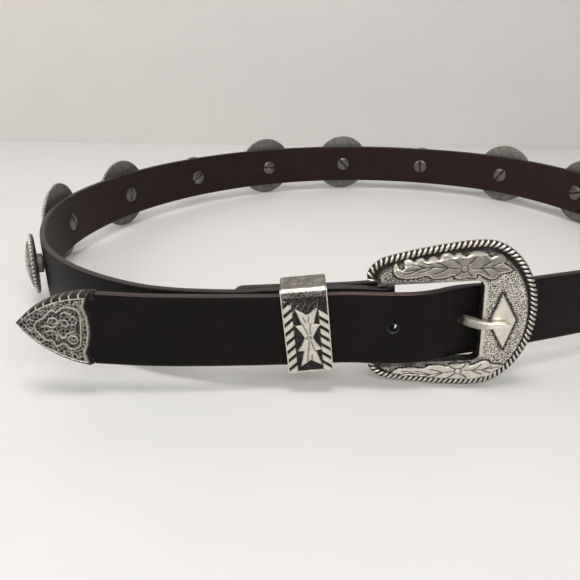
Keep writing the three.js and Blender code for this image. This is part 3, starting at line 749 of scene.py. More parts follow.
class BELT_OT_strap(Operator):
    """Makes the leather strap with its fold, holes and rubbed edges"""

    bl_idname = "belt.strap"
    bl_label = "Strap"

    def execute(self, context):
        middles, halves = strap_stations()
        ahead = np.vstack([middles[1:], middles[-1:]])
        behind = np.vstack([middles[:1], middles[:-1]])
        step = ahead - behind
        across = np.stack([step[:, 1], -step[:, 0], np.zeros(len(step))], 1)
        across /= np.linalg.norm(across, axis=1, keepdims=True)
        lean = lean_at(middles)
        upright = np.stack([-np.sin(lean), np.zeros(len(lean)), np.cos(lean)], 1)
        rows = section_rows()
        rings = np.stack([
            middles + side * across + section_height(halves, *row)[:, None] * upright
            for side, *row in rows], 1)
        inner = np.array([finish == FLESH_SIDE for _, _, _, finish in rows])
        self.raise_round_screws(rings, inner)
        points, faces = skin(rings)
        finish = np.array([row[3] for row in rows])
        columns = len(rows)
        beside = np.roll(finish, -1)
        by_edge = (finish == CUT_EDGE) | (beside == CUT_EDGE)
        face_finish = np.where(by_edge, CUT_EDGE, np.maximum(finish, beside))
        body_faces = np.tile(face_finish, len(rings) - 1)
        caps = np.full(2 * columns, CUT_EDGE)
        order = np.concatenate([body_faces, caps])
        raw, rubbed = self.wear(rings.reshape(-1, 3))
        raw = np.concatenate([raw, [0, 0]])
        rubbed = np.concatenate([rubbed, [0, 0]])
        materials = [leather_material(), edge_material(), flesh_material()]
        strap = make_piece("strap_leather", points, faces, materials, order, raw=raw, rubbed=rubbed)
        cut(strap, *tube_along(prong_course(), HOLE_RADIUS))
        for number in (1, 2):
            self.punch(strap, PRONG_HOLE_X - number * HOLE_SPACING)
        cut(strap, *self.prong_slot())
        finish_mesh(strap.data, 40)
        settle(strap, "strap_leather", "strap")
        return {"FINISHED"}

    def prong_slot(self):
        """The block that opens the fold round the bar for the prong's ring."""
        half_x, half_y, half_z = PRONG_SLOT_HALF
        ends = (-1, 1)
        slot = np.array([[x * half_x, y * half_y, z * half_z] for x in ends for y in ends for z in ends])
        slot_z = BUCKLE_Z + (BAR_X - BUCKLE_X) * math.tan(BUCKLE_TILT)
        slot += [BAR_X, BODY_AT_BAR_Y - HALF_THICKNESS - 0.15 + half_y, slot_z]
        sides = [(0, 1, 3, 2), (4, 6, 7, 5), (0, 4, 5, 1), (2, 3, 7, 6), (0, 2, 6, 4), (1, 5, 7, 3)]
        return slot, sides

    def raise_round_screws(self, rings, inner):
        """Lets the leather swell a little round each screw head."""
        for _, middle, outward, _ in concho_places():
            apart = rings - middle
            flat = np.linalg.norm(apart - (apart @ outward)[..., None] * outward, axis=-1)
            near = (np.abs(apart @ outward) < 4) & inner[None]
            swell = 0.32 * np.exp(-((flat - 6.2) / 1.3) ** 2) * near
            rings -= swell[..., None] * outward

    def wear(self, places):
        """Where the cut edge shows raw leather, where the billet's grain side is rubbed, and how much lighter
        the grain side is made towards the loop's right.
        """
        x, y, z = places.T
        front = (y < -115) & (x > -98)
        billet = front & (y < -132.6 + np.clip(x * 0.35, 0, 8)) & (x < 21)
        worn_edge = (0.35 + 0.55 * smooth((x + 52) / 40)) * (1 - 0.8 * smooth((x + 5) / 9))
        raw = np.where(billet & (z > 28), worn_edge, 0.05)
        rubbed = np.where(billet, 0.25 * smooth((x + 20) / 30), 0.0)
        # The grain side is made lighter towards the loop's right, through the same attribute as the rubbing
        side = smooth((-y - 40) / 60) * smooth((x - 25) / 30)
        return raw, np.clip(rubbed + 0.45 * side, 0, 1)

    def punch(self, strap, x):
        """Punches one buckle hole through the billet."""
        nearest = min(BILLET, key=lambda row: abs(row[0] - x))
        face = nearest[1] - HALF_THICKNESS
        radius = HOLE_RADIUS * 0.8
        back = face + 2 * HALF_THICKNESS + 0.15
        stops = [(face - 3, 1.5), (face - 0.15, 1.36), (face + 0.3, 1.0), (back, 1.0)]
        turn = 2 * np.pi * np.arange(28) / 28
        rings = [np.stack([x + radius * size * np.cos(turn), np.full(28, y),
                           nearest[2] + HOLE_RISE + radius * size * np.sin(turn)], 1) for y, size in stops]
        points, faces = skin(rings)
        cut(strap, points, faces, strap.data.materials[1], raw=np.full(len(points), 1.6))


# Buckle

FRAME_OUTLINE = [
    (-29.5, 14), (-30, 15.8), (-29.1, 18.2), (-26.8, 20.4), (-23.2, 21.9), (-11.1, 24.2),
    (3.5, 25.7), (11.6, 24.3), (18.5, 18.5), (22.9, 9.6), (24.2, 0),
]

# The leaf spray's outline, along and up, from the stem's hook round over the leaves
LEAF_OUTLINE = [
    (-22, 17.2), (-22.1, 18.6), (-21.2, 19.7), (-20.6, 18.8), (-19.6, 18.2), (-18.7, 18.9), (-18.6, 20.5),
    (-17.1, 20.8), (-15.7, 20.2), (-14.6, 20.8), (-13.1, 21.1), (-12, 20.5), (-10.6, 21.3), (-9.2, 21.4),
    (-8.4, 20.9), (-6.9, 22), (-5.2, 22.3), (-3.7, 21.8), (-2, 22.3), (-0.3, 21.6), (1.6, 22.4), (3.6, 22.6),
    (5.9, 22.2), (7.2, 21), (9.2, 21.5), (11.4, 20.9), (12.1, 19.9), (11.2, 18.9), (12.8, 17.8), (14.2, 16.5),
    (12.2, 15.9), (10.2, 15.4), (9.2, 14.2), (7.7, 13.9), (6.1, 14.6), (4.2, 15.7), (3.1, 15.9), (3.2, 14.8),
    (1.8, 14.6), (0.3, 15), (-1.5, 14.6), (-3.2, 14.9), (-3.9, 15.9), (-6.2, 15.2), (-8.6, 15),
    (-10.4, 15.2), (-11.9, 16.2), (-14.5, 15.7), (-17.6, 15.5), (-20.5, 15.9),
]
FLOWER = (-0.6, 17.8)

# Cut lines on the leaves: midribs, side veins and the petals' edges
LEAF_LINES = [
    [(-2.6, 17.9), (-6.5, 18.5), (-11, 18.8), (-15.5, 18.2), (-18.6, 17.9)],
    [(-5.5, 18.4), (-7.2, 19.4), (-8.9, 20.2)],
    [(-9.4, 18.8), (-11.2, 19.7), (-13, 20.1)],
    [(-13, 18.6), (-14.6, 19.5), (-16.3, 19.8)],
    [(-5.8, 18.2), (-7.6, 17.2), (-9.8, 16.6)],
    [(-10.4, 18.6), (-12.4, 17.7), (-14.4, 17.3)],
    [(-15, 18.1), (-17, 17.2), (-19, 17)],
    [(1.6, 17.6), (5.5, 17.7), (9.5, 17.4), (13, 16.7)],
    [(4.2, 17.8), (5.6, 18.8), (7.2, 19.6)],
    [(7.2, 17.7), (8.8, 18.6), (10.3, 19.2)],
    [(4.8, 17.5), (6, 16.4), (7, 15.2)],
    [(8, 17.4), (9.2, 16.8), (10.4, 16.4)],
    [(-1.8, 19.1), (-3.2, 20.3), (-5, 21.2)],
    [(0.4, 19.2), (1.6, 20.1), (2.4, 21.2)],
    [(-1.7, 16.6), (-2.7, 16), (-3.6, 15.2)],
    [(0.5, 16.7), (1.2, 16), (1.8, 15)],
]

# The lower spray mirrors the upper one, a little flatter and further out, on its narrower arm
SPRAY_MIDDLE = 17.8
LOWER_SPRAY_MIDDLE = 18.7
LOWER_SPRAY_FLAT = 0.85

# How dark the walls inside the buckle's opening are painted, as shade, and how tarnished the frame's back is
HOLE_WALL_SHADE = 0.93
BACK_TARNISH = 0.42

DIAMOND_CENTRE = np.array([12.75, -1.15])
DIAMOND_HALF = (4.05, 9.65)
DIAMOND_TURN = 0.077


def frame_line():
    """The buckle's outer line from the upper arm's end to the lower one's."""
    mirrored = [(along, -half) for along, half in reversed(FRAME_OUTLINE[:-1])]
    return Course(catmull_rom(FRAME_OUTLINE + mirrored, 24, 0, clamp=True))


def opening_line():
    """The edge of the buckle's opening from the upper arm's end to the lower one's."""
    corner = OPENING_RIGHT - OPENING_CORNER
    turn = np.linspace(np.pi / 2, 0, 9)
    bend = np.stack([corner + OPENING_CORNER * np.cos(turn), OPENING_CORNER * (np.sin(turn) - 1)], 1)
    upper = bend + [0, OPENING_TOP]
    lower = bend[::-1] * [1, -1] - [0, OPENING_BOTTOM]
    arm_end = FRAME_OUTLINE[0][0]
    return Course(np.vstack([[arm_end, OPENING_TOP], upper, lower, [arm_end, -OPENING_BOTTOM]]))


def frame_grid(rows=620, columns=72):
    """Flat points of the frame, a row for each step along it, from the opening out to the edge."""
    outer, inner = frame_line(), opening_line()
    corner = OPENING_RIGHT - OPENING_CORNER
    top = outer.run[np.argmax(outer.line[:, 0] > corner)]
    shoulder = outer.run[np.argmax(outer.line[:, 0] > 18.5)]
    bend = OPENING_CORNER * np.pi / 2
    arm = corner - FRAME_OUTLINE[0][0]
    stops_out = [0, top, shoulder, outer.length / 2]
    stops_out += [outer.length - stop for stop in stops_out[-2::-1]]
    stops_in = [0, arm, arm + bend, arm + bend + OPENING_TOP - OPENING_CORNER]
    stops_in += [inner.length - arm - bend, inner.length - arm, inner.length]
    runs = np.linspace(0, outer.length, rows)
    edge, hole = outer.at(runs), inner.at(np.interp(runs, stops_out, stops_in))
    share = np.linspace(0, 1, columns)[None, :, None]
    return hole[:, None] * (1 - share) + edge[:, None] * share


def frame_relief(flat):
    """Height over the groove's floor, tarnish with a painted shadow, and stippled ground of the buckle's
    front.
    """
    from_edge = line_distance(flat, frame_line().line)
    middle, half = (OPENING_TOP - OPENING_BOTTOM) / 2, (OPENING_TOP + OPENING_BOTTOM) / 2
    right = np.maximum(flat[:, 0] - (OPENING_RIGHT - OPENING_CORNER), 0)
    high = np.maximum(np.abs(flat[:, 1] - middle) - (half - OPENING_CORNER), 0)
    from_hole = np.hypot(right, high) - OPENING_CORNER
    field = smooth((from_edge - 2.6) / 1.3)
    height = FRAME_RECESS * field + 0.18 * smooth((from_edge - 3.8) / 3)
    height -= 0.55 * (1 - smooth(from_hole / 1.0)) ** 2
    recess = 0.97 * (1 - smooth((from_edge - 2.7) / 2.1))

    lower = LOWER_SPRAY_FLAT, LOWER_SPRAY_MIDDLE
    rise = np.where(flat[:, 1] > 0, flat[:, 1], SPRAY_MIDDLE - (flat[:, 1] + lower[1]) / lower[0])
    mirrored = np.stack([flat[:, 0], rise], 1)
    leaf = inside_depth(mirrored, closed_line(LEAF_OUTLINE, 5))
    on_leaf = smooth((leaf + 0.1) / 0.22)
    height += on_leaf * (0.6 + 0.12 * smooth(leaf / 1.2))
    beside = np.exp(-((leaf + 0.32) / 0.42) ** 2) * (leaf < 0)
    recess = np.maximum(recess * (1 - on_leaf), 0.9 * beside)
    cuts = np.full(len(flat), 1e9)
    for line in LEAF_LINES:
        cuts = np.minimum(cuts, line_distance(mirrored, catmull_rom(line, 5)))
    ring = np.abs(np.hypot(mirrored[:, 0] - FLOWER[0], mirrored[:, 1] - FLOWER[1]) - 1.15)
    groove = np.exp(-(np.minimum(cuts, ring) / 0.28) ** 2) * on_leaf
    height -= 0.28 * groove
    rim = np.exp(-((leaf - 0.22) / 0.2) ** 2)
    film = on_leaf * (1 - rim) * (0.1 + 0.48 * smooth((flat[:, 1] + 2) / 8))
    recess = np.maximum(recess, np.maximum(0.95 * groove, film))

    cos, sin = math.cos(DIAMOND_TURN), math.sin(DIAMOND_TURN)
    wide, tall = DIAMOND_HALF
    corners = np.array([(-wide, 0), (0, tall), (wide, 0), (0, -tall)]) @ [[cos, sin], [-sin, cos]]
    rhomb = inside_depth(flat, corners + DIAMOND_CENTRE)
    on_rhomb = smooth((rhomb + 0.1) / 0.3)
    height += on_rhomb * (0.62 + 0.28 * smooth(rhomb / 2.4))
    beside = np.exp(-((rhomb + 0.4) / 0.6) ** 2) * (rhomb < 0)
    recess = np.maximum(recess * (1 - on_rhomb), 0.85 * beside)
    ground = field * (1 - on_leaf) * (1 - on_rhomb)
    by_rope = smooth((np.abs(flat[:, 1]) - 17.5) / 3) * (1 - smooth((flat[:, 0] - 12) / 5))
    shade = 0.08 + 0.32 * smooth((8 - flat[:, 0]) / 20) + 0.35 * by_rope
    recess = np.maximum(recess, np.minimum(shade, 0.8) * ground)
    # Along the opening's lip the tarnish is made lighter, and along the lower arm's lip a painted shadow of
    # the strap above is added
    lip = np.exp(-((from_hole - 0.45) / 0.42) ** 2)
    below = smooth((-flat[:, 1] - OPENING_BOTTOM + 2) / 1.5)
    recess = recess * (1 - 0.8 * lip) + 0.75 * lip * below
    return height, recess, ground * (1 - lip)


def frame_body():
    """The cast frame: its worked front, its plain back and the walls between."""
    front = frame_grid()
    rows, columns = front.shape[:2]
    height, recess, ground = (part.reshape(rows, columns) for part in frame_relief(front.reshape(-1, 2)))
    back_y = FRONT_Y + FRAME_DEPTH
    floor_y = FRONT_Y + FRAME_RECESS
    faces_front = on_buckle(front[..., 0], floor_y - height, front[..., 1])
    back_columns = np.linspace(columns - 1, 0, 10).round().astype(int)
    back = front[:, back_columns]
    ease = np.array([0.9] + [0] * 9)
    faces_back = on_buckle(back[..., 0], back_y - ease[None], back[..., 1])
    hole_edge = np.repeat(front[:, :1], 2, axis=1)
    wall_y = np.concatenate([np.full((rows, 1), back_y - 0.45), floor_y - height[:, :1] + 0.3], 1)
    wall = on_buckle(hole_edge[..., 0], wall_y, hole_edge[..., 1])
    points = np.concatenate([faces_front, faces_back, wall], 1)
    spare = np.zeros((rows, len(back_columns)))
    # The walls inside the opening, and the back's inner edge beside them, are painted dark as shade
    shaded_wall = np.full((rows, 2), HOLE_WALL_SHADE)
    dark_back = spare + BACK_TARNISH
    dark_back[:, -1] = HOLE_WALL_SHADE
    tarnish = np.concatenate([recess, dark_back, shaded_wall], 1)
    dots = np.concatenate([ground, spare + 0.25, 0 * shaded_wall], 1)
    return points, tarnish, dots


class BELT_OT_buckle(Operator):
    """Makes the cast buckle frame with its leaf sprays, diamond, bar and lugs"""

    bl_idname = "belt.buckle"
    bl_label = "Buckle frame"

    def execute(self, context):
        rings, tarnish, dots = frame_body()
        points, faces = skin(rings)
        recess = np.concatenate([tarnish.ravel(), [0.3, 0.3]])
        ground = np.concatenate([dots.ravel(), [0, 0]])
        bodies = [(points, faces)]
        bar_along = (BAR_X - BUCKLE_X) / math.cos(BUCKLE_TILT)
        rises = (OPENING_TOP + 2, -OPENING_BOTTOM - 2)
        ends = on_buckle([bar_along, bar_along], [BAR_Y, BAR_Y], rises)
        bodies.append(round_bar(ends[0], ends[1], BAR_RADIUS))
        for rise in rises:
            bodies.append(self.lug(bar_along, rise))
        all_points, all_faces = joined(*bodies)
        spare = len(all_points) - len(points)
        recess = np.concatenate([recess, np.full(spare, 0.45)])
        ground = np.concatenate([ground, np.zeros(spare)])
        silver = silver_material("Buckle silver", stippled=True)
        buckle = make_piece("buckle_body", all_points, all_faces, [silver], sharp=50,
                            recess=recess, ground=ground)
        settle(buckle, "buckle_silver", "buckle_frame")
        return {"FINISHED"}

    def lug(self, along, rise, sides=28):
        """An eased block that holds the bar behind an arm."""
        front = FRONT_Y + FRAME_DEPTH - 1
        back = BAR_Y + BAR_RADIUS + 0.4
        turn = 2 * np.pi * np.arange(sides) / sides
        flat = np.stack([np.sign(np.cos(turn)) * np.abs(np.cos(turn)) ** 0.35 * 2.5,
                         np.sign(np.sin(turn)) * np.abs(np.sin(turn)) ** 0.35 * 2.0], 1)
        stops = [(front, 1.0), (back - 0.4, 1.0), (back - 0.1, 0.94), (back, 0.82)]
        return skin([on_buckle(along + flat[:, 0] * size, depth, rise + flat[:, 1] * size)
                     for depth, size in stops])


# Rope edges, laid along a line by geometry nodes

def rope_tree(name, material):
    """Lays slanted strands along a line, and gives them their finish."""
    tree = bpy.data.node_groups.new(name, "GeometryNodeTree")
    face = tree.interface
    face.new_socket(name="Line", in_out="INPUT", socket_type="NodeSocketGeometry")
    for key, value in (("Radius", 0.001), ("Pitch", 0.0018), ("Slant", 0.8)):
        face.new_socket(name=key, in_out="INPUT", socket_type="NodeSocketFloat").default_value = value
    front = face.new_socket(name="Front", in_out="INPUT", socket_type="NodeSocketVector")
    front.default_value = (0, -1, 0)
    face.new_socket(name="Rope", in_out="OUTPUT", socket_type="NodeSocketGeometry")
    source, result = tree.nodes.new("NodeGroupInput"), tree.nodes.new("NodeGroupOutput")
    given = source.outputs
    line = add_node(tree, "GeometryNodeMeshToCurve", {"Mesh": given["Line"]}).outputs[0]
    inputs = {"Curve": line, "Length": given["Pitch"]}
    spots = add_node(tree, "GeometryNodeCurveToPoints", inputs, mode="LENGTH")
    inputs = {"Vector": spots.outputs["Tangent"]}
    along = add_node(tree, "FunctionNodeAlignRotationToVector", inputs, axis="X")
    inputs = {"Rotation": along.outputs[0], "Vector": given["Front"]}
    facing = add_node(tree, "FunctionNodeAlignRotationToVector", inputs, axis="Z", pivot_axis="X")
    inputs = {"Segments": 12, "Rings": 8, "Radius": 1.0}
    strand = add_node(tree, "GeometryNodeMeshUVSphere", inputs).outputs["Mesh"]
    size = add_node(tree, "ShaderNodeCombineXYZ", {
        "X": maths(tree, "MULTIPLY", given["Radius"], 0.56),
        "Y": maths(tree, "MULTIPLY", given["Radius"], 1.42),
        "Z": maths(tree, "MULTIPLY", given["Radius"], 1.0)}).outputs[0]
    turn = add_node(tree, "ShaderNodeCombineXYZ", {"X": 0.0, "Y": 0.0, "Z": given["Slant"]}).outputs[0]
    inputs = {"Geometry": strand, "Scale": size, "Rotation": turn}
    shaped = add_node(tree, "GeometryNodeTransform", inputs).outputs[0]
    inputs = {"Points": spots.outputs["Points"], "Instance": shaped, "Rotation": facing.outputs[0]}
    laid = add_node(tree, "GeometryNodeInstanceOnPoints", inputs).outputs[0]
    whole = add_node(tree, "GeometryNodeRealizeInstances", {"Geometry": laid}).outputs[0]
    soft = add_node(tree, "GeometryNodeSetShadeSmooth", {"Geometry": whole}).outputs[0]
    dressed = add_node(tree, "GeometryNodeSetMaterial", {"Geometry": soft, "Material": material}).outputs[0]
    feed(tree, result.inputs["Rope"], dressed)
    return tree


def grow(name, host, tree, material, **values):
    """Runs a geometry node tree on a host and returns its result as a plain mesh object."""
    change = host.modifiers.new("Grow", "NODES")
    change.node_group = tree
    for socket in tree.interface.items_tree:
        if socket.in_out == "INPUT" and socket.name in values:
            change[socket.identifier] = values[socket.name]
    made = bpy.data.meshes.new_from_object(host.evaluated_get(bpy.context.evaluated_depsgraph_get()))
    host.modifiers.remove(change)
    bpy.data.objects.remove(host)
    made.name = name
    if not made.materials:
        made.materials.append(material)
    piece = bpy.data.objects.new(name, made)
    bpy.context.scene.collection.objects.link(piece)
    return piece


def line_host(name, lines, closed=False):
    """An object that holds bare lines, given in millimetres."""
    points, edges = [], []
    for line in lines:
        start = len(points)
        points += ((np.asarray(line) + SHIFT) * MM).tolist()
        edges += [(start + i, start + i + 1) for i in range(len(line) - 1)]
        if closed:
            edges.append((start + len(line) - 1, start))
    mesh = bpy.data.meshes.new(name)
    mesh.from_pydata(points, edges, [])
    host = bpy.data.objects.new(name, mesh)
    bpy.context.scene.collection.objects.link(host)
    return host


def fuse(name, *pieces):
    """Joins objects that sit at the origin into the first one's mesh."""
    work = bmesh.new()
    materials = []
    for piece in pieces:
        start = len(materials)
        materials += list(piece.data.materials)
        before = len(work.faces)
        work.from_mesh(piece.data)
        work.faces.ensure_lookup_table()
        for face in work.faces[before:]:
            face.material_index += start
    mesh = bpy.data.meshes.new(name)
    work.to_mesh(mesh)
    work.free()
    for material in materials:
        mesh.materials.append(material)
    for piece in pieces:
        bpy.data.objects.remove(piece)
    whole = bpy.data.objects.new(name, mesh)
    bpy.context.scene.collection.objects.link(whole)
    return whole


class BELT_OT_buckle_rope(Operator):
    """Lays the rope edge round the buckle frame"""

    bl_idname = "belt.buckle_rope"
    bl_label = "Buckle rope"

    def execute(self, context):
        sizes = context.scene.belt_sizes
        radius = sizes.rope_radius / MM
        outer = frame_line()
        runs = np.linspace(0, outer.length, 260)
        place, along = outer.at(runs), outer.tangent(runs)
        inset = radius * 0.95
        flat = place + inset * np.stack([along[:, 1], -along[:, 0]], 1)
        path = on_buckle(flat[:, 0], FRONT_Y + FRAME_RECESS + 0.45, flat[:, 1])
        silver = silver_material("Rope silver", brightness=0.9)
        host = line_host("rope line", [path])
        strands = grow("rope strands", host, rope_tree("Rope edge", silver), silver,
                       Radius=sizes.rope_radius, Pitch=sizes.rope_pitch, Slant=-0.62)
        core_points, core_faces = tube_round(path, radius * 0.72, np.array([0, 1.0, 0]))
        dark = silver_material("Rope shadow")
        core = make_piece("rope core", core_points, core_faces, [dark], recess=np.ones(len(core_points)))
        rope = fuse("buckle_rope", strands, core)
        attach(rope, "root")
        return {"FINISHED"}


def tube_round(path, radius, normal, sides=10):
    """A round wire along points that lie in one plane."""
    path = np.asarray(path, float)
    step = np.gradient(path, axis=0)
    step /= np.linalg.norm(step, axis=1, keepdims=True)
    side = np.cross(step, normal)
    turn = 2 * np.pi * np.arange(sides) / sides
    return skin([place + radius * (np.cos(turn)[:, None] * across + np.sin(turn)[:, None] * normal)
                 for place, across in zip(path, side)])


class BELT_OT_prong(Operator):
    """Makes the buckle's prong, with the ring that holds it on the bar"""

    bl_idname = "belt.prong"
    bl_label = "Prong"

    def execute(self, context):
        course = prong_course()
        runs = np.linspace(0, course.length, 90)
        share = runs / course.length
        # Half height and half depth of the prong at shares of its length
        stops = [0, 0.45, 0.6, 0.68, 0.76, 0.84, 0.97, 1]
        high = np.interp(share, stops, [PRONG_RADIUS, PRONG_RADIUS, 1.5, 1.62, 1.45, 1.15, 1.05, 0.85])
        deep = np.interp(share, stops, [PRONG_RADIUS, PRONG_RADIUS, 1.3, 1.35, 1.2, 1.0, 0.9, 0.6])
        places, along = course.at(runs), course.tangent(runs)
        up = np.array([-math.sin(BUCKLE_TILT), 0, math.cos(BUCKLE_TILT)])
        side = np.cross(along, up)
        turn = 2 * np.pi * np.arange(28) / 28
        cos, sin = np.cos(turn), np.sin(turn)
        box = 1 / (np.abs(cos) ** 4 + np.abs(sin) ** 4) ** (1 / 4)
        rings = np.stack([
            place + (half_deep * cos * box)[:, None] * across + (half_high * sin * box)[:, None] * up
            for place, across, half_high, half_deep in zip(places, side, high, deep)])
        end = rings[-1].mean(0)
        cap = [(0.85, 0.35), (0.55, 0.6), (0.2, 0.72)]
        close = [end + (rings[-1] - end) * size + along[-1] * reach for size, reach in cap]
        rings = np.concatenate([rings, close])
        points, faces = joined(skin(rings), self.ring())
        x = points[:, 0]
        # Mottled tarnish along the prong out to its bright end, and painted shadow on the part deep in the
        # strap's hole
        tarnish_and_hole_shadow = 0.42 * (1 - smooth((x - 22.5) / 2)) + 0.5 * (1 - smooth((x - 17) / 1.2))
        silver = silver_material("Prong silver", brightness=1.15)
        prong = make_piece("buckle_prong", points, faces, [silver], sharp=60, recess=tarnish_and_hole_shadow)
        settle(prong, "buckle_silver", "prong")
        return {"FINISHED"}

    def ring(self, sides=14, steps=36):
        """The loop round the bar."""
        radius = BAR_RADIUS + GAP + PRONG_RADIUS
        bar_turn = 2 * np.pi * np.arange(steps) / steps
        turn = 2 * np.pi * np.arange(sides) / sides
        along = (BAR_X - BUCKLE_X) / math.cos(BUCKLE_TILT)
        reach = radius + PRONG_RADIUS * np.cos(turn)
        rise = PRONG_RADIUS * np.sin(turn)
        rings = [on_buckle(along + reach * math.cos(a), BAR_Y + reach * math.sin(a), rise) for a in bar_turn]
        return skin(rings, close_rows=True)


# Keeper

KEEPER_X = -33.4
KEEPER_DROP = 0.45
KEEPER_WIDTH = 14.4
KEEPER_HEIGHT = 30.2
KEEPER_DEPTH = 11.4
KEEPER_WALL = 1.2
KEEPER_CORNER = 1.4
KEEPER_TILT = math.radians(6.4)

# Right upper quarter of the keeper's figure, across and up from its waist
KEEPER_FIGURE = [(1.3, 0), (2.4, 2.2), (4.0, 4.5), (1.9, 4.7), (2.6, 7.2), (3.5, 10.3), (1.6, 9.1), (0, 8.1)]
KEEPER_LINES = [
    [(-0.2, 1.2), (-0.9, 3.2), (-1.9, 5.5)],
    [(0.6, 1.4), (0.5, 3.2), (0.9, 5.2)],
    [(-0.1, -1.3), (-0.3, -3.4), (-0.9, -6.6)],
    [(0.6, -1.2), (1.1, -3.2), (1.6, -4.8)],
    [(-0.6, 5.6), (-1.3, 7.4)],
    [(0.2, 5.8), (0.6, 7.4)],
    [(-0.9, -6.2), (-1.1, -8.4)],
    [(0.5, -6), (0.3, -8)],
]


def keeper_relief(across, up):
    """Height over the ground, tarnish and stippling of the keeper's front."""
    flat = np.stack([across - 0.4, up + 1.9], 1)
    quarter = np.array(KEEPER_FIGURE, float)
    outline = np.vstack([quarter, quarter[::-1][1:] * [-1, 1], quarter[1:] * [-1, -1],
                         (quarter[::-1] * [1, -1])[1:-1]])
    figure = inside_depth(flat, outline)
    on_figure = smooth((figure + 0.1) / 0.3)
    cuts = np.full(len(flat), 1e9)
    for line in KEEPER_LINES:
        cuts = np.minimum(cuts, line_distance(flat, catmull_rom(line, 5)))
    navel = np.abs(np.hypot(flat[:, 0] / 1.4, flat[:, 1]) - 0.5)
    groove = np.exp(-(np.minimum(cuts, navel) / 0.2) ** 2) * on_figure
    pitch = 3.2
    slope = up + np.abs(across) * 0.8
    phase = np.abs(((slope + 1.2) / pitch) % 1 - 0.5) * pitch
    column = smooth((np.abs(across) - 4.0) / 0.25)
    bars = smooth((1.08 - phase) / 0.26) * column * smooth((9.6 - up - 0.35 * across) / 0.6)
    rim = np.maximum(smooth((np.abs(across) - 6.85) / 0.15), smooth((-up - 13.6) / 0.3))
    band = smooth((up - 11.6) / 1.6)
    raised = np.maximum.reduce([on_figure, bars, rim, band])
    height = 0.45 * raised + 0.1 * smooth(figure / 1.2) - 0.2 * groove
    speckle = np.sin(across * 9.1 + 3 * np.sin(up * 5.3)) * np.sin(up * 8.7 + 2 * np.sin(across * 6.1))
    speckle = smooth(speckle * 1.6 - 0.35) * smooth((up - 6.4) / 1.2) * (1 - column) * (1 - band)
    recess = np.maximum(0.93 * (1 - raised) * (1 - 0.7 * speckle), 0.8 * groove)
    film = 0.66 * smooth((14.4 - up) / 0.5) * smooth((up - 9.6) / 1.2) * (1 - rim)
    return height, np.maximum(recess, film), (1 - raised) * 0.6 + film


class BELT_OT_keeper(Operator):
    """Makes the metal keeper, a sleeve with an engraved front"""

    bl_idname = "belt.keeper"
    bl_label = "Keeper"

    def execute(self, context):
        half_y, half_z = KEEPER_DEPTH / 2, KEEPER_HEIGHT / 2
        outline = self.perimeter(half_y, half_z, KEEPER_CORNER)
        inner = self.perimeter(half_y - KEEPER_WALL, half_z - KEEPER_WALL, 0.4)
        columns = 66
        across = np.linspace(-KEEPER_WIDTH / 2, KEEPER_WIDTH / 2, columns)
        rings, recess, ground = [], [], []
        for place, inward in zip(outline, inner):
            y, z, normal_y, normal_z, on_front = place
            height, tarnish, dots = keeper_relief(across, np.full(columns, z))
            lift = height * on_front
            ease = 0.25 * (1 - np.sqrt(np.clip(1 - (np.clip(np.abs(across) - 6.6, 0, 0.3) / 0.3) ** 2, 0, 1)))
            outer_y = y + normal_y * (lift - ease)
            outer_z = z + normal_z * (lift - ease)
            ring = np.stack([across, outer_y, outer_z], 1)
            back = np.linspace(columns - 1, 0, 8).round().astype(int)
            inside = np.stack([across[back], np.full(8, inward[0]), np.full(8, inward[1])], 1)
            rings.append(np.vstack([ring, inside]))
            # Off the engraved front: the flat top is darkened as painted shade, its rounded edges are kept
            # light and the other sides are mid dark
            plain = np.full(columns, 0.55 if normal_z > 0.9 else 0.05 if normal_z > 0 else 0.3)
            outside = np.where(on_front > 0, tarnish * on_front + plain * (1 - on_front), plain)
            recess.append(np.concatenate([outside, np.full(8, 0.7)]))
            dotted = 0.45 if normal_z > 0.5 else 0.1
            ground.append(np.concatenate([dots * on_front + dotted * (1 - on_front), np.zeros(8)]))
        rings = np.array(rings)
        cos, sin = math.cos(KEEPER_TILT), math.sin(KEEPER_TILT)
        _, y, z = TOGETHER[1]
        placed = np.stack([KEEPER_X + rings[..., 0] * cos - rings[..., 2] * sin,
                           y + rings[..., 1],
                           z - KEEPER_DROP + rings[..., 0] * sin + rings[..., 2] * cos], -1)
        points, faces = skin(placed, close_rows=True)
        silver = silver_material("Keeper silver", stippled=True, brightness=0.92)
        keeper = make_piece("keeper_sleeve", points, faces, [silver], sharp=50,
                            recess=np.concatenate(recess), ground=np.concatenate(ground))
        settle(keeper, "buckle_silver", "keeper")
        return {"FINISHED"}

    def perimeter(self, half_y, half_z, radius):
        """Points round the sleeve's section, with their outward direction and share of the front."""
        rows = []

        def straight(start, end, normal, steps, front):
            for share in np.linspace(0, 1, steps, endpoint=False):
                y, z = (1 - share) * np.array(start) + share * np.array(end)
                rows.append((y, z, *normal, front))

        def bend(centre, first, fades):
            for share in np.linspace(0, 1, 8, endpoint=False):
                turn = first + share * np.pi / 2
                normal = (math.cos(turn), math.sin(turn))
                front = fades[0] * (1 - share) + fades[1] * share
                rows.append((centre[0] + radius * normal[0], centre[1] + radius * normal[1], *normal, front))

        y, z = half_y - radius, half_z - radius
        straight((-half_y, z), (-half_y, -z), (-1, 0), 150, 1)
        bend((-y, -z), np.pi, (1, 0))
        straight((-y, -half_z), (y, -half_z), (0, -1), 14, 0)
        bend((y, -z), 1.5 * np.pi, (0, 0))
        straight((half_y, -z), (half_y, z), (1, 0), 24, 0)
        bend((y, z), 0, (0, 0))
        straight((y, half_z), (-y, half_z), (0, 1), 24, 0)
        bend((-y, z), np.pi / 2, (0, 1))
        return rows


# Metal tip

TIP_FRONT = 1.6
TIP_BACK = 0.7

# Front face's right edge: how far from the point, at heights
TIP_EDGE = [(-12.5, 22.6), (-7.8, 21), (-5, 22), (0, 22.6), (5, 21.9), (8, 20.7), (12.5, 21.7)]

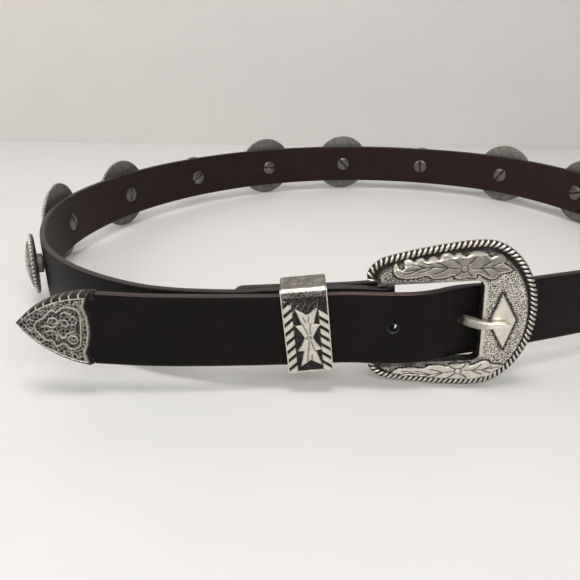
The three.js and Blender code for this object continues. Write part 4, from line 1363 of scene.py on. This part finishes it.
TIP_CARTOUCHE = [
    (19.6, 6.4), (17, 7.6), (14.8, 7.3), (12.7, 5.5), (11.6, 6.1), (10.3, 5), (8.9, 3.1), (6.6, 1.4),
    (5.9, -0.6), (7.2, -2.6), (9.7, -4.6), (11.2, -4.6), (12.5, -6.4), (14.8, -5.2), (16.8, -6.8),
    (19.4, -5.9), (20.1, 0),
]
TIP_SCROLLS = [
    [(10, 1.4), (10.6, 3), (12.2, 3.4), (13, 2.2), (12.2, 1.2)],
    [(12.9, 1.2), (13.8, 2.8), (15.4, 3.1), (16.4, 1.8), (15.4, 0.8), (14.4, 1.2)],
    [(8.2, -0.2), (9.6, 0.5), (11.2, 0), (12.4, 0.6)],
    [(9.4, -1.8), (10.8, -1), (12.2, -1.6), (12.9, -3), (12.4, -4.2)],
    [(13.2, -1.2), (13.9, -2.9), (15, -3.2), (15.6, -1.8), (16.8, -1), (18.2, -0.4)],
    [(17, -2), (18.6, -2.4), (19, -3.8), (17.8, -4.9), (16.4, -4.2), (16.3, -2.8), (17, -2)],
    [(16.8, 3.2), (17.6, 4.6), (18.8, 3.8), (18.6, 2.2), (17.4, 1.6)],
    [(14, 5), (15.4, 5.8), (16.8, 5.2)],
    [(5.6, 4.6), (7, 5.6), (8.4, 5.2), (8.2, 4)],
    [(9.4, 7.4), (10.8, 8.6), (12.4, 8.2), (12, 7)],
    [(14.2, 9.4), (15.6, 10.4), (17.2, 9.8), (16.8, 8.6)],
    [(3.6, 1.2), (4.6, 2.2), (5.6, 1.6)],
    [(3.4, -0.8), (4.4, -1.8), (5.4, -1.2)],
    [(6, -4.6), (7.4, -5.6), (8.6, -5)],
    [(9.8, -7.2), (11, -8.6), (12.6, -8.4), (12.8, -7.4)],
    [(14.6, -8), (15.4, -9.8), (17, -10), (17.4, -8.6), (16.4, -7.9)],
    [(18.4, -8.4), (19.2, -10), (20, -9.2)],
    [(18, 8.8), (19, 9.8), (19.4, 8.6)],
]


def pitted_ground(flat, spacing=1.35):
    """Thin veins between the cells of a scattered lattice, and the pit in the middle of each cell."""
    scatter = np.random.default_rng(11)
    across_tip = np.arange(-TIP_HALF, TIP_HALF + 2, spacing)
    along, up = np.meshgrid(np.arange(0, TIP_LENGTH + 2, spacing), across_tip)
    spots = np.stack([along.ravel(), up.ravel()], 1)
    spots += scatter.uniform(-0.42, 0.42, spots.shape) * spacing
    near = np.sort(np.linalg.norm(flat[:, None] - spots[None], axis=2), axis=1)[:, :2]
    veins = smooth((0.34 - (near[:, 1] - near[:, 0])) / 0.24)
    return veins, smooth((0.5 - near[:, 0]) / 0.2)


def tip_relief(flat, half):
    """Height over the ground, and tarnish with painted shade, of the tip's front."""
    along, up = flat.T
    rim_gap = half - np.abs(up)
    outline = closed_line(TIP_CARTOUCHE, 5)
    ring = np.vstack([outline, outline[:1]])
    ridge = line_distance(flat, ring)
    for line in TIP_SCROLLS:
        ridge = np.minimum(ridge, line_distance(flat, catmull_rom(line, 5)) + 0.05)
    edges = sorted(TIP_EDGE)
    right = np.interp(up, [row[0] for row in edges], [row[1] for row in edges]) - along
    ridge = np.minimum(ridge, np.abs(right - 0.25))
    raised = 0.85 * smooth((0.34 - ridge) / 0.22) * (rim_gap > 1.2)
    arc_run = along + 0.45 * np.abs(up)
    joint = smooth((np.abs((arc_run / 3.1) % 1 - 0.5) - 0.4) / 0.06)
    border = np.exp(-((rim_gap - 1.2) / 0.17) ** 2)
    raised = np.maximum(raised, np.minimum(border + joint * (rim_gap < 1.2), 1) * (right > 0))
    veins, pits = pitted_ground(flat)
    field = rim_gap > 1.25
    depth = inside_depth(flat, outline)
    shadow = np.exp(-((depth - 1.0) / 0.5) ** 2)
    ground = (0.42 * veins + 0.12 * (1 - pits)) * (1 - 0.75 * shadow)
    body = np.maximum(raised, np.where(field, ground, 0))
    recess = np.clip(0.96 - 0.95 * body, 0, 1)
    # Past the front's right edge the tip's end wall is painted near-black, as shade
    wall = smooth(-right / 0.4)
    recess = np.maximum(recess * (1 - wall), 0.97 * wall)
    height = 0.42 * body * (1 - wall) - (TIP_FRONT + 0.1) * smooth(-right / 1.4) * (right < 0)
    return height, recess


class BELT_OT_tip(Operator):
    """Makes the pointed metal tip with its scrolled front"""

    bl_idname = "belt.tip"
    bl_label = "Metal tip"

    def execute(self, context):
        rows, columns = 190, 150
        along = TIP_LENGTH * np.linspace(0, 1, rows) ** 1.15
        half = np.maximum(tip_half(along), 0.12)
        share = np.sin(np.linspace(-1, 1, columns) * np.pi / 2 * 0.92) / math.sin(np.pi / 2 * 0.92)
        up = share[None] * half[:, None]
        flat = np.stack([np.repeat(along, columns), up.ravel()], 1)
        height, recess = tip_relief(flat, np.repeat(half, columns))
        gap = (half[:, None] - np.abs(up)).ravel()
        point_gap = np.minimum(gap, np.repeat(along, columns) * 0.8)
        ease = 0.85 * (1 - np.sqrt(np.clip(1 - (1 - np.clip(point_gap / 0.9, 0, 1)) ** 2, 0, 1)))
        face = -(HALF_THICKNESS + GAP + TIP_FRONT - 0.45) - height + ease
        front = np.stack([flat[:, 0], face, flat[:, 1]], 1).reshape(rows, columns, 3)
        rear_columns = np.linspace(columns - 1, 0, 14).round().astype(int)
        rear = front[:, rear_columns].copy()
        rear_y = HALF_THICKNESS + GAP + TIP_BACK
        eased = np.array([0.5, 0.15] + [0] * 10 + [0.15, 0.5])
        rear[..., 1] = rear_y - eased[None]
        rings = np.concatenate([front, rear], 1)
        tarnish = np.concatenate([recess.reshape(rows, columns), np.full((rows, 14), 0.85)], 1)
        placed = self.place(rings)
        points, faces = skin(placed)
        silver = silver_material("Tip silver", brightness=0.8)
        tip = make_piece("metal_tip", points, faces, [silver], sharp=55,
                         recess=np.concatenate([tarnish.ravel(), [0.3, 0.9]]))
        settle(tip, "buckle_silver", "tip")
        return {"FINISHED"}

    def place(self, rings):
        """Turns the tip's own axes to where it lies on the strap."""
        along = -TIP_DIRECTION
        across = np.cross([0, 0, 1.0], along)
        across /= np.linalg.norm(across)
        upright = np.cross(along, across)
        turn = np.stack([along, across, upright])
        return rings @ turn + TIP_POINT


# Conchos and screws

CONCHO_RIM = 1.4
CONCHO_DOME = 2.4
BOSS_RADIUS = 4
POST_RADIUS = 2.4
STUD_RADIUS = 3.9


def concho_profile(radius):
    """Rows of radius and height for a concho's front, from its middle to its rim."""
    back = CONCHO_SEAT + CONCHO_STANDOFF
    share = np.linspace(0, 1, 44)
    dome = back + CONCHO_RIM + CONCHO_DOME * np.cos(np.clip(share / 0.93, 0, 1) * np.pi / 2) ** 0.9
    rim = back + CONCHO_RIM - 0.5 * smooth((share - 0.93) / 0.07)
    return share * radius, np.where(share > 0.93, rim, dome)


def concho_body(kind, middle, outward, side, petals):
    """A domed disc with petals in front, a plain back, a boss and a post."""
    radius = CONCHO_RADIUS[kind]
    back = CONCHO_SEAT + CONCHO_STANDOFF
    steps = 96 if kind == "big" else 72
    turn = 2 * np.pi * np.arange(steps) / steps
    radii, heights = concho_profile(radius)
    share = radii / radius
    petal = np.abs(np.cos(turn[:, None] * petals / 2))
    reach = 0.42 + 0.4 * petal ** 0.6
    on_petal = smooth((reach - share[None]) / 0.04) * smooth((share[None] - 0.2) / 0.05)
    rib = np.exp(-(np.abs(np.sin(turn[:, None] * petals / 2)) * radii[None] / petals * 2 / 0.16) ** 2)
    button = smooth((0.17 - share[None]) / 0.03)
    lift = 0.4 * on_petal - 0.22 * rib * on_petal + 0.5 * button
    front = heights[None] + lift
    recess = np.clip(0.75 * (1 - np.maximum(on_petal, button)) + 0.6 * rib * on_petal, 0, 0.9)
    rear = [
        (radius - 0.25, back + 0.12), (radius - 0.7, back), (radius * 0.6, back),
        (BOSS_RADIUS + 0.6, back), (BOSS_RADIUS, back - 0.5),
        (BOSS_RADIUS, CONCHO_SEAT + 0.3), (BOSS_RADIUS - 0.3, CONCHO_SEAT),
        (POST_RADIUS, CONCHO_SEAT), (POST_RADIUS, -HALF_THICKNESS), (0.0, -HALF_THICKNESS),
    ]
    rear_r, rear_h = (np.broadcast_to(column, (steps, len(rear))) for column in np.array(rear).T)
    all_r = np.concatenate([np.broadcast_to(radii, (steps, len(radii))), rear_r], 1)
    all_h = np.concatenate([front, rear_h], 1)
    tarnish = np.concatenate([recess, np.full((steps, len(rear)), 0.6)], 1)
    spoke = np.cos(turn)[:, None, None] * side + np.sin(turn)[:, None, None] * [0, 0, 1]
    rings = middle + all_r[..., None] * spoke + all_h[..., None] * outward
    faces = grid_faces(steps, rings.shape[1], close_rows=True, close_columns=False)
    return rings.reshape(-1, 3), [list(face) for face in faces], tarnish.ravel()


class BELT_OT_conchos(Operator):
    """Makes the round conchos with their rope rims"""

    bl_idname = "belt.conchos"
    bl_label = "Conchos"

    def execute(self, context):
        sizes = context.scene.belt_sizes
        silver = silver_material("Concho silver", brightness=0.7)
        bodies, tarnish, rims = [], [], {}
        rope = sizes.concho_rope_radius / MM
        for number, (kind, middle, outward, side) in enumerate(concho_places()):
            points, faces, recess = concho_body(kind, middle, outward, side, sizes.petals)
            bodies.append((points, faces))
            tarnish.append(recess)
            turn = 2 * np.pi * np.arange(120) / 120
            radius = CONCHO_RADIUS[kind] - rope
            height = CONCHO_SEAT + CONCHO_STANDOFF + 0.95
            circle = np.cos(turn)[:, None] * side + np.sin(turn)[:, None] * np.array([0, 0, 1])
            rims[number] = (middle + radius * circle + height * outward, outward)
        points, faces = joined(*bodies)
        discs = make_piece("concho discs", points, faces, [silver], sharp=40, recess=np.concatenate(tarnish))
        tree = rope_tree("Concho rope", silver)
        edges = []
        for number, (rim, outward) in rims.items():
            host = line_host(f"rim {number}", [rim], closed=True)
            edges.append(grow(f"rim rope {number}", host, tree, silver, Front=tuple(outward),
                              Radius=sizes.concho_rope_radius, Pitch=0.00165, Slant=0.62))
        whole = fuse("conchos", discs, *edges)
        settle(whole, "concho_silver", *[f"concho_{n + 1}" for n in range(len(CONCHOS))])
        return {"FINISHED"}


def screw_tree(material):
    """Sets a screw head on each point, turned by the point's own turn."""
    tree = bpy.data.node_groups.new("Screw heads", "GeometryNodeTree")
    face = tree.interface
    face.new_socket(name="Places", in_out="INPUT", socket_type="NodeSocketGeometry")
    face.new_socket(name="Head", in_out="INPUT", socket_type="NodeSocketObject")
    face.new_socket(name="Scale", in_out="INPUT", socket_type="NodeSocketFloat").default_value = 1.0
    face.new_socket(name="Screws", in_out="OUTPUT", socket_type="NodeSocketGeometry")
    source, result = tree.nodes.new("NodeGroupInput"), tree.nodes.new("NodeGroupOutput")
    pattern = add_node(tree, "GeometryNodeObjectInfo", {"Object": source.outputs["Head"]})
    turn = add_node(tree, "GeometryNodeInputNamedAttribute", {"Name": "turn"}, data_type="FLOAT_VECTOR")
    turned = add_node(tree, "FunctionNodeEulerToRotation", {"Euler": turn.outputs[0]}).outputs[0]
    inputs = {"Points": source.outputs["Places"], "Instance": pattern.outputs["Geometry"], "Rotation": turned,
              "Scale": source.outputs["Scale"]}
    placed = add_node(tree, "GeometryNodeInstanceOnPoints", inputs).outputs[0]
    whole = add_node(tree, "GeometryNodeRealizeInstances", {"Geometry": placed}).outputs[0]
    dressed = add_node(tree, "GeometryNodeSetMaterial", {"Geometry": whole, "Material": material}).outputs[0]
    feed(tree, result.inputs["Screws"], dressed)
    return tree


def screw_head(radius, material, slotted=True):
    """A low domed head about the origin, facing -Y, with a straight slot and a short shank."""
    rings, tarnish = [], []
    turn = 2 * np.pi * np.arange(48) / 48
    face = -(HALF_THICKNESS + GAP)
    for share in (0.02, 0.2, 0.4, 0.6, 0.78, 0.88, 0.95, 1.0):
        height = 0.95 - 0.5 * share**2 - 0.25 * smooth((share - 0.85) / 0.15)
        x, z = radius * share * np.cos(turn), radius * share * np.sin(turn)
        slot = smooth((0.62 - np.abs(z)) / 0.14) if slotted else 0 * z
        rings.append(np.stack([x, face - height + 0.42 * slot, z], 1))
        tarnish.append(0.15 + 0.75 * slot + 0.1 * share)
    for size, height in ((1.0, 0.0), (0.3, 0.0), (0.27, -1.6)):
        x, z = size * radius * np.cos(turn), size * radius * np.sin(turn)
        rings.append(np.stack([x, np.full(48, face - height), z], 1))
        tarnish.append(np.full(48, 0.6))
    points, faces = skin(rings)
    recess = np.concatenate([*tarnish, [0.8 if slotted else 0.2, 0.6]])
    return make_piece("head pattern", points - SHIFT, faces, [material], sharp=30, recess=recess)


class BELT_OT_screws(Operator):
    """Sets the slotted screw heads inside the strap and the studs of the fold"""

    bl_idname = "belt.screws"
    bl_label = "Screws and studs"

    def execute(self, context):
        steel = steel_material()
        radius = context.scene.belt_sizes.screw_radius / MM
        places = []
        for number, (_, middle, outward, side) in enumerate(concho_places()):
            spin = Matrix.Rotation(0.7 * number + 0.4, 3, "Y")
            basis = Matrix((Vector(side), Vector(outward), Vector((0, 0, 1)))).transposed()
            places.append((middle, (basis @ spin).to_euler()))
        self.set_heads("screws", places, screw_head(radius, steel), steel, "screw_", len(CONCHOS))
        studs = []
        for x, y, z in (TOGETHER[0], TOGETHER[2]):
            flip = Matrix.Rotation(math.pi, 3, "Z")
            studs.append(((x, y + LAYER_STEP, z), flip.to_euler()))
        plain = screw_head(STUD_RADIUS, steel, slotted=False)
        self.set_heads("fold_studs", studs, plain, steel, "fold_stud_", 2)
        return {"FINISHED"}

    def set_heads(self, name, places, head, steel, node, count):
        """Grows one piece from a row of places."""
        mesh = bpy.data.meshes.new(name)
        spots = [((np.asarray(place) + SHIFT) * MM).tolist() for place, _ in places]
        mesh.from_pydata(spots, [], [])
        turns = mesh.attributes.new("turn", "FLOAT_VECTOR", "POINT")
        turns.data.foreach_set("vector", np.array([tuple(turn) for _, turn in places], np.float32).ravel())
        host = bpy.data.objects.new(name + " places", mesh)
        bpy.context.scene.collection.objects.link(host)
        piece = grow(name, host, screw_tree(steel), steel, Head=head)
        bpy.data.objects.remove(head)
        settle(piece, "screw_steel", *[f"{node}{n + 1}" for n in range(count)])


# Stage

CAMERA_PLACE = (-39.0, -297.0, 109.5)
CAMERA_PITCH = math.radians(24.15)
CAMERA_ROLL = math.radians(0.8)
WALL_Y = 310.0
WALL_TOP = 1800
FAR_EDGE = 3000

FLOOR_COLOUR = (0.68, 0.67, 0.655)
WALL_COLOUR = (0.6, 0.575, 0.55)
ROOM_COLOUR = (0.93, 0.925, 0.915, 1)
ROOM_STRENGTH = 0.36

# Name, place, target, size, power in watts and colour of each light
LAMPS = [
    ("key light", (-80, -230, 780), (0, -60, 0), (380, 230), 3.2, (1, 0.98, 0.955)),
    ("front fill", (60, -850, 620), (0, -80, 20), (1000, 380), 5.0, (0.98, 0.99, 1)),
    ("side fill", (-850, -250, 450), (-60, -90, 20), (600, 500), 3.0, (1, 0.985, 0.96)),
]


def plain_material(name, colour, rough):
    """A painted surface with a faint unevenness."""
    material, tree, shader = new_material(name)
    cloud = noise(tree, object_place(tree), 0.09, 3.0)
    darker = tuple(channel * 0.965 for channel in colour)
    feed(tree, shader.inputs["Base Color"], blend(tree, span(tree, cloud, 0.3, 0.7), darker, colour))
    shader.inputs["Roughness"].default_value = rough
    shader.inputs["Specular IOR Level"].default_value = 0.3
    return material


def open_from_behind(material):
    """Lets a wall be seen through from its back, so that the belt shows in a view from behind."""
    tree = material.node_tree
    paint = tree.nodes["Principled BSDF"].outputs["BSDF"]
    clear = add_node(tree, "ShaderNodeBsdfTransparent").outputs["BSDF"]
    back_side = add_node(tree, "ShaderNodeNewGeometry").outputs["Backfacing"]
    shown = add_node(tree, "ShaderNodeMixShader", {0: back_side, 1: paint, 2: clear}).outputs["Shader"]
    feed(tree, tree.nodes["Material Output"].inputs["Surface"], shown)


class BELT_OT_stage(Operator):
    """Sets the floor, the backdrop, the lights and the camera"""

    bl_idname = "belt.stage"
    bl_label = "Stage"

    def execute(self, context):
        paper = plain_material("Floor paint", FLOOR_COLOUR, 0.55)
        wall = plain_material("Wall paint", WALL_COLOUR, 0.7)
        open_from_behind(wall)
        corners_x = (-FAR_EDGE, FAR_EDGE, FAR_EDGE, -FAR_EDGE)
        floor_y = (-FAR_EDGE, -FAR_EDGE, FAR_EDGE, FAR_EDGE)
        wall_z = (0, 0, WALL_TOP, WALL_TOP)
        self.plate("floor", [(x, y, 0) for x, y in zip(corners_x, floor_y)], paper)
        self.plate("backdrop", [(x, WALL_Y, z) for x, z in zip(corners_x, wall_z)], wall)
        for row in LAMPS:
            self.lamp(*row)
        world = bpy.data.worlds.new("Room light")
        context.scene.world = world
        world.use_nodes = True
        back = world.node_tree.nodes["Background"]
        back.inputs["Color"].default_value = ROOM_COLOUR
        back.inputs["Strength"].default_value = ROOM_STRENGTH
        lens = bpy.data.cameras.new("camera")
        lens.lens, lens.sensor_width = 36, 36
        lens.clip_start, lens.clip_end = 0.01, 20
        camera = bpy.data.objects.new("camera", lens)
        context.scene.collection.objects.link(camera)
        camera.location = Vector((np.array(CAMERA_PLACE) + [SHIFT[0], SHIFT[1], 0]) * MM)
        turn = Matrix.Rotation(math.pi / 2 - CAMERA_PITCH, 3, "X") @ Matrix.Rotation(CAMERA_ROLL, 3, "Z")
        camera.rotation_euler = turn.to_euler()
        context.scene.camera = camera
        context.scene.view_settings.view_transform = "Standard"
        return {"FINISHED"}

    def plate(self, name, corners, material):
        mesh = bpy.data.meshes.new(name)
        mesh.from_pydata([tuple(c * MM for c in corner) for corner in corners], [], [(0, 1, 2, 3)])
        mesh.materials.append(material)
        plate = bpy.data.objects.new(name, mesh)
        bpy.context.scene.collection.objects.link(plate)

    def lamp(self, name, place, target, size, power, colour):
        light = bpy.data.lights.new(name, "AREA")
        light.shape = "RECTANGLE"
        light.size, light.size_y = size[0] * MM, size[1] * MM
        light.energy, light.color = power, colour
        lamp = bpy.data.objects.new(name, light)
        bpy.context.scene.collection.objects.link(lamp)
        lamp.location = Vector(place) * MM
        lamp.rotation_euler = (Vector(target) - Vector(place)).to_track_quat("-Z", "Y").to_euler()


class BELT_PT_panel(Panel):
    """Lists the steps that make the belt, with its sizes and colours"""

    bl_idname = "BELT_PT_panel"
    bl_label = "Western belt"
    bl_space_type = "VIEW_3D"
    bl_region_type = "UI"
    bl_category = "Belt"

    def draw(self, context):
        layout = self.layout
        for settings in (context.scene.belt_sizes, context.scene.belt_colours):
            box = layout.box()
            for key in settings.__annotations__:
                box.prop(settings, key)
        for step in STEPS:
            layout.operator(step.bl_idname)


STEPS = (
    BELT_OT_strap, BELT_OT_buckle, BELT_OT_buckle_rope, BELT_OT_prong, BELT_OT_keeper,
    BELT_OT_tip, BELT_OT_conchos, BELT_OT_screws, BELT_OT_stage,
)
CLASSES = (BeltSizes, BeltColours, *STEPS, BELT_PT_panel)


def register():
    for kind in CLASSES:
        bpy.utils.register_class(kind)
    bpy.types.Scene.belt_sizes = PointerProperty(type=BeltSizes)
    bpy.types.Scene.belt_colours = PointerProperty(type=BeltColours)


def unregister():
    del bpy.types.Scene.belt_colours
    del bpy.types.Scene.belt_sizes
    for kind in reversed(CLASSES):
        bpy.utils.unregister_class(kind)


def main():
    register()
    for step in STEPS:
        group, name = step.bl_idname.split(".")
        getattr(getattr(bpy.ops, group), name)()


if __name__ == "__main__":
    main()
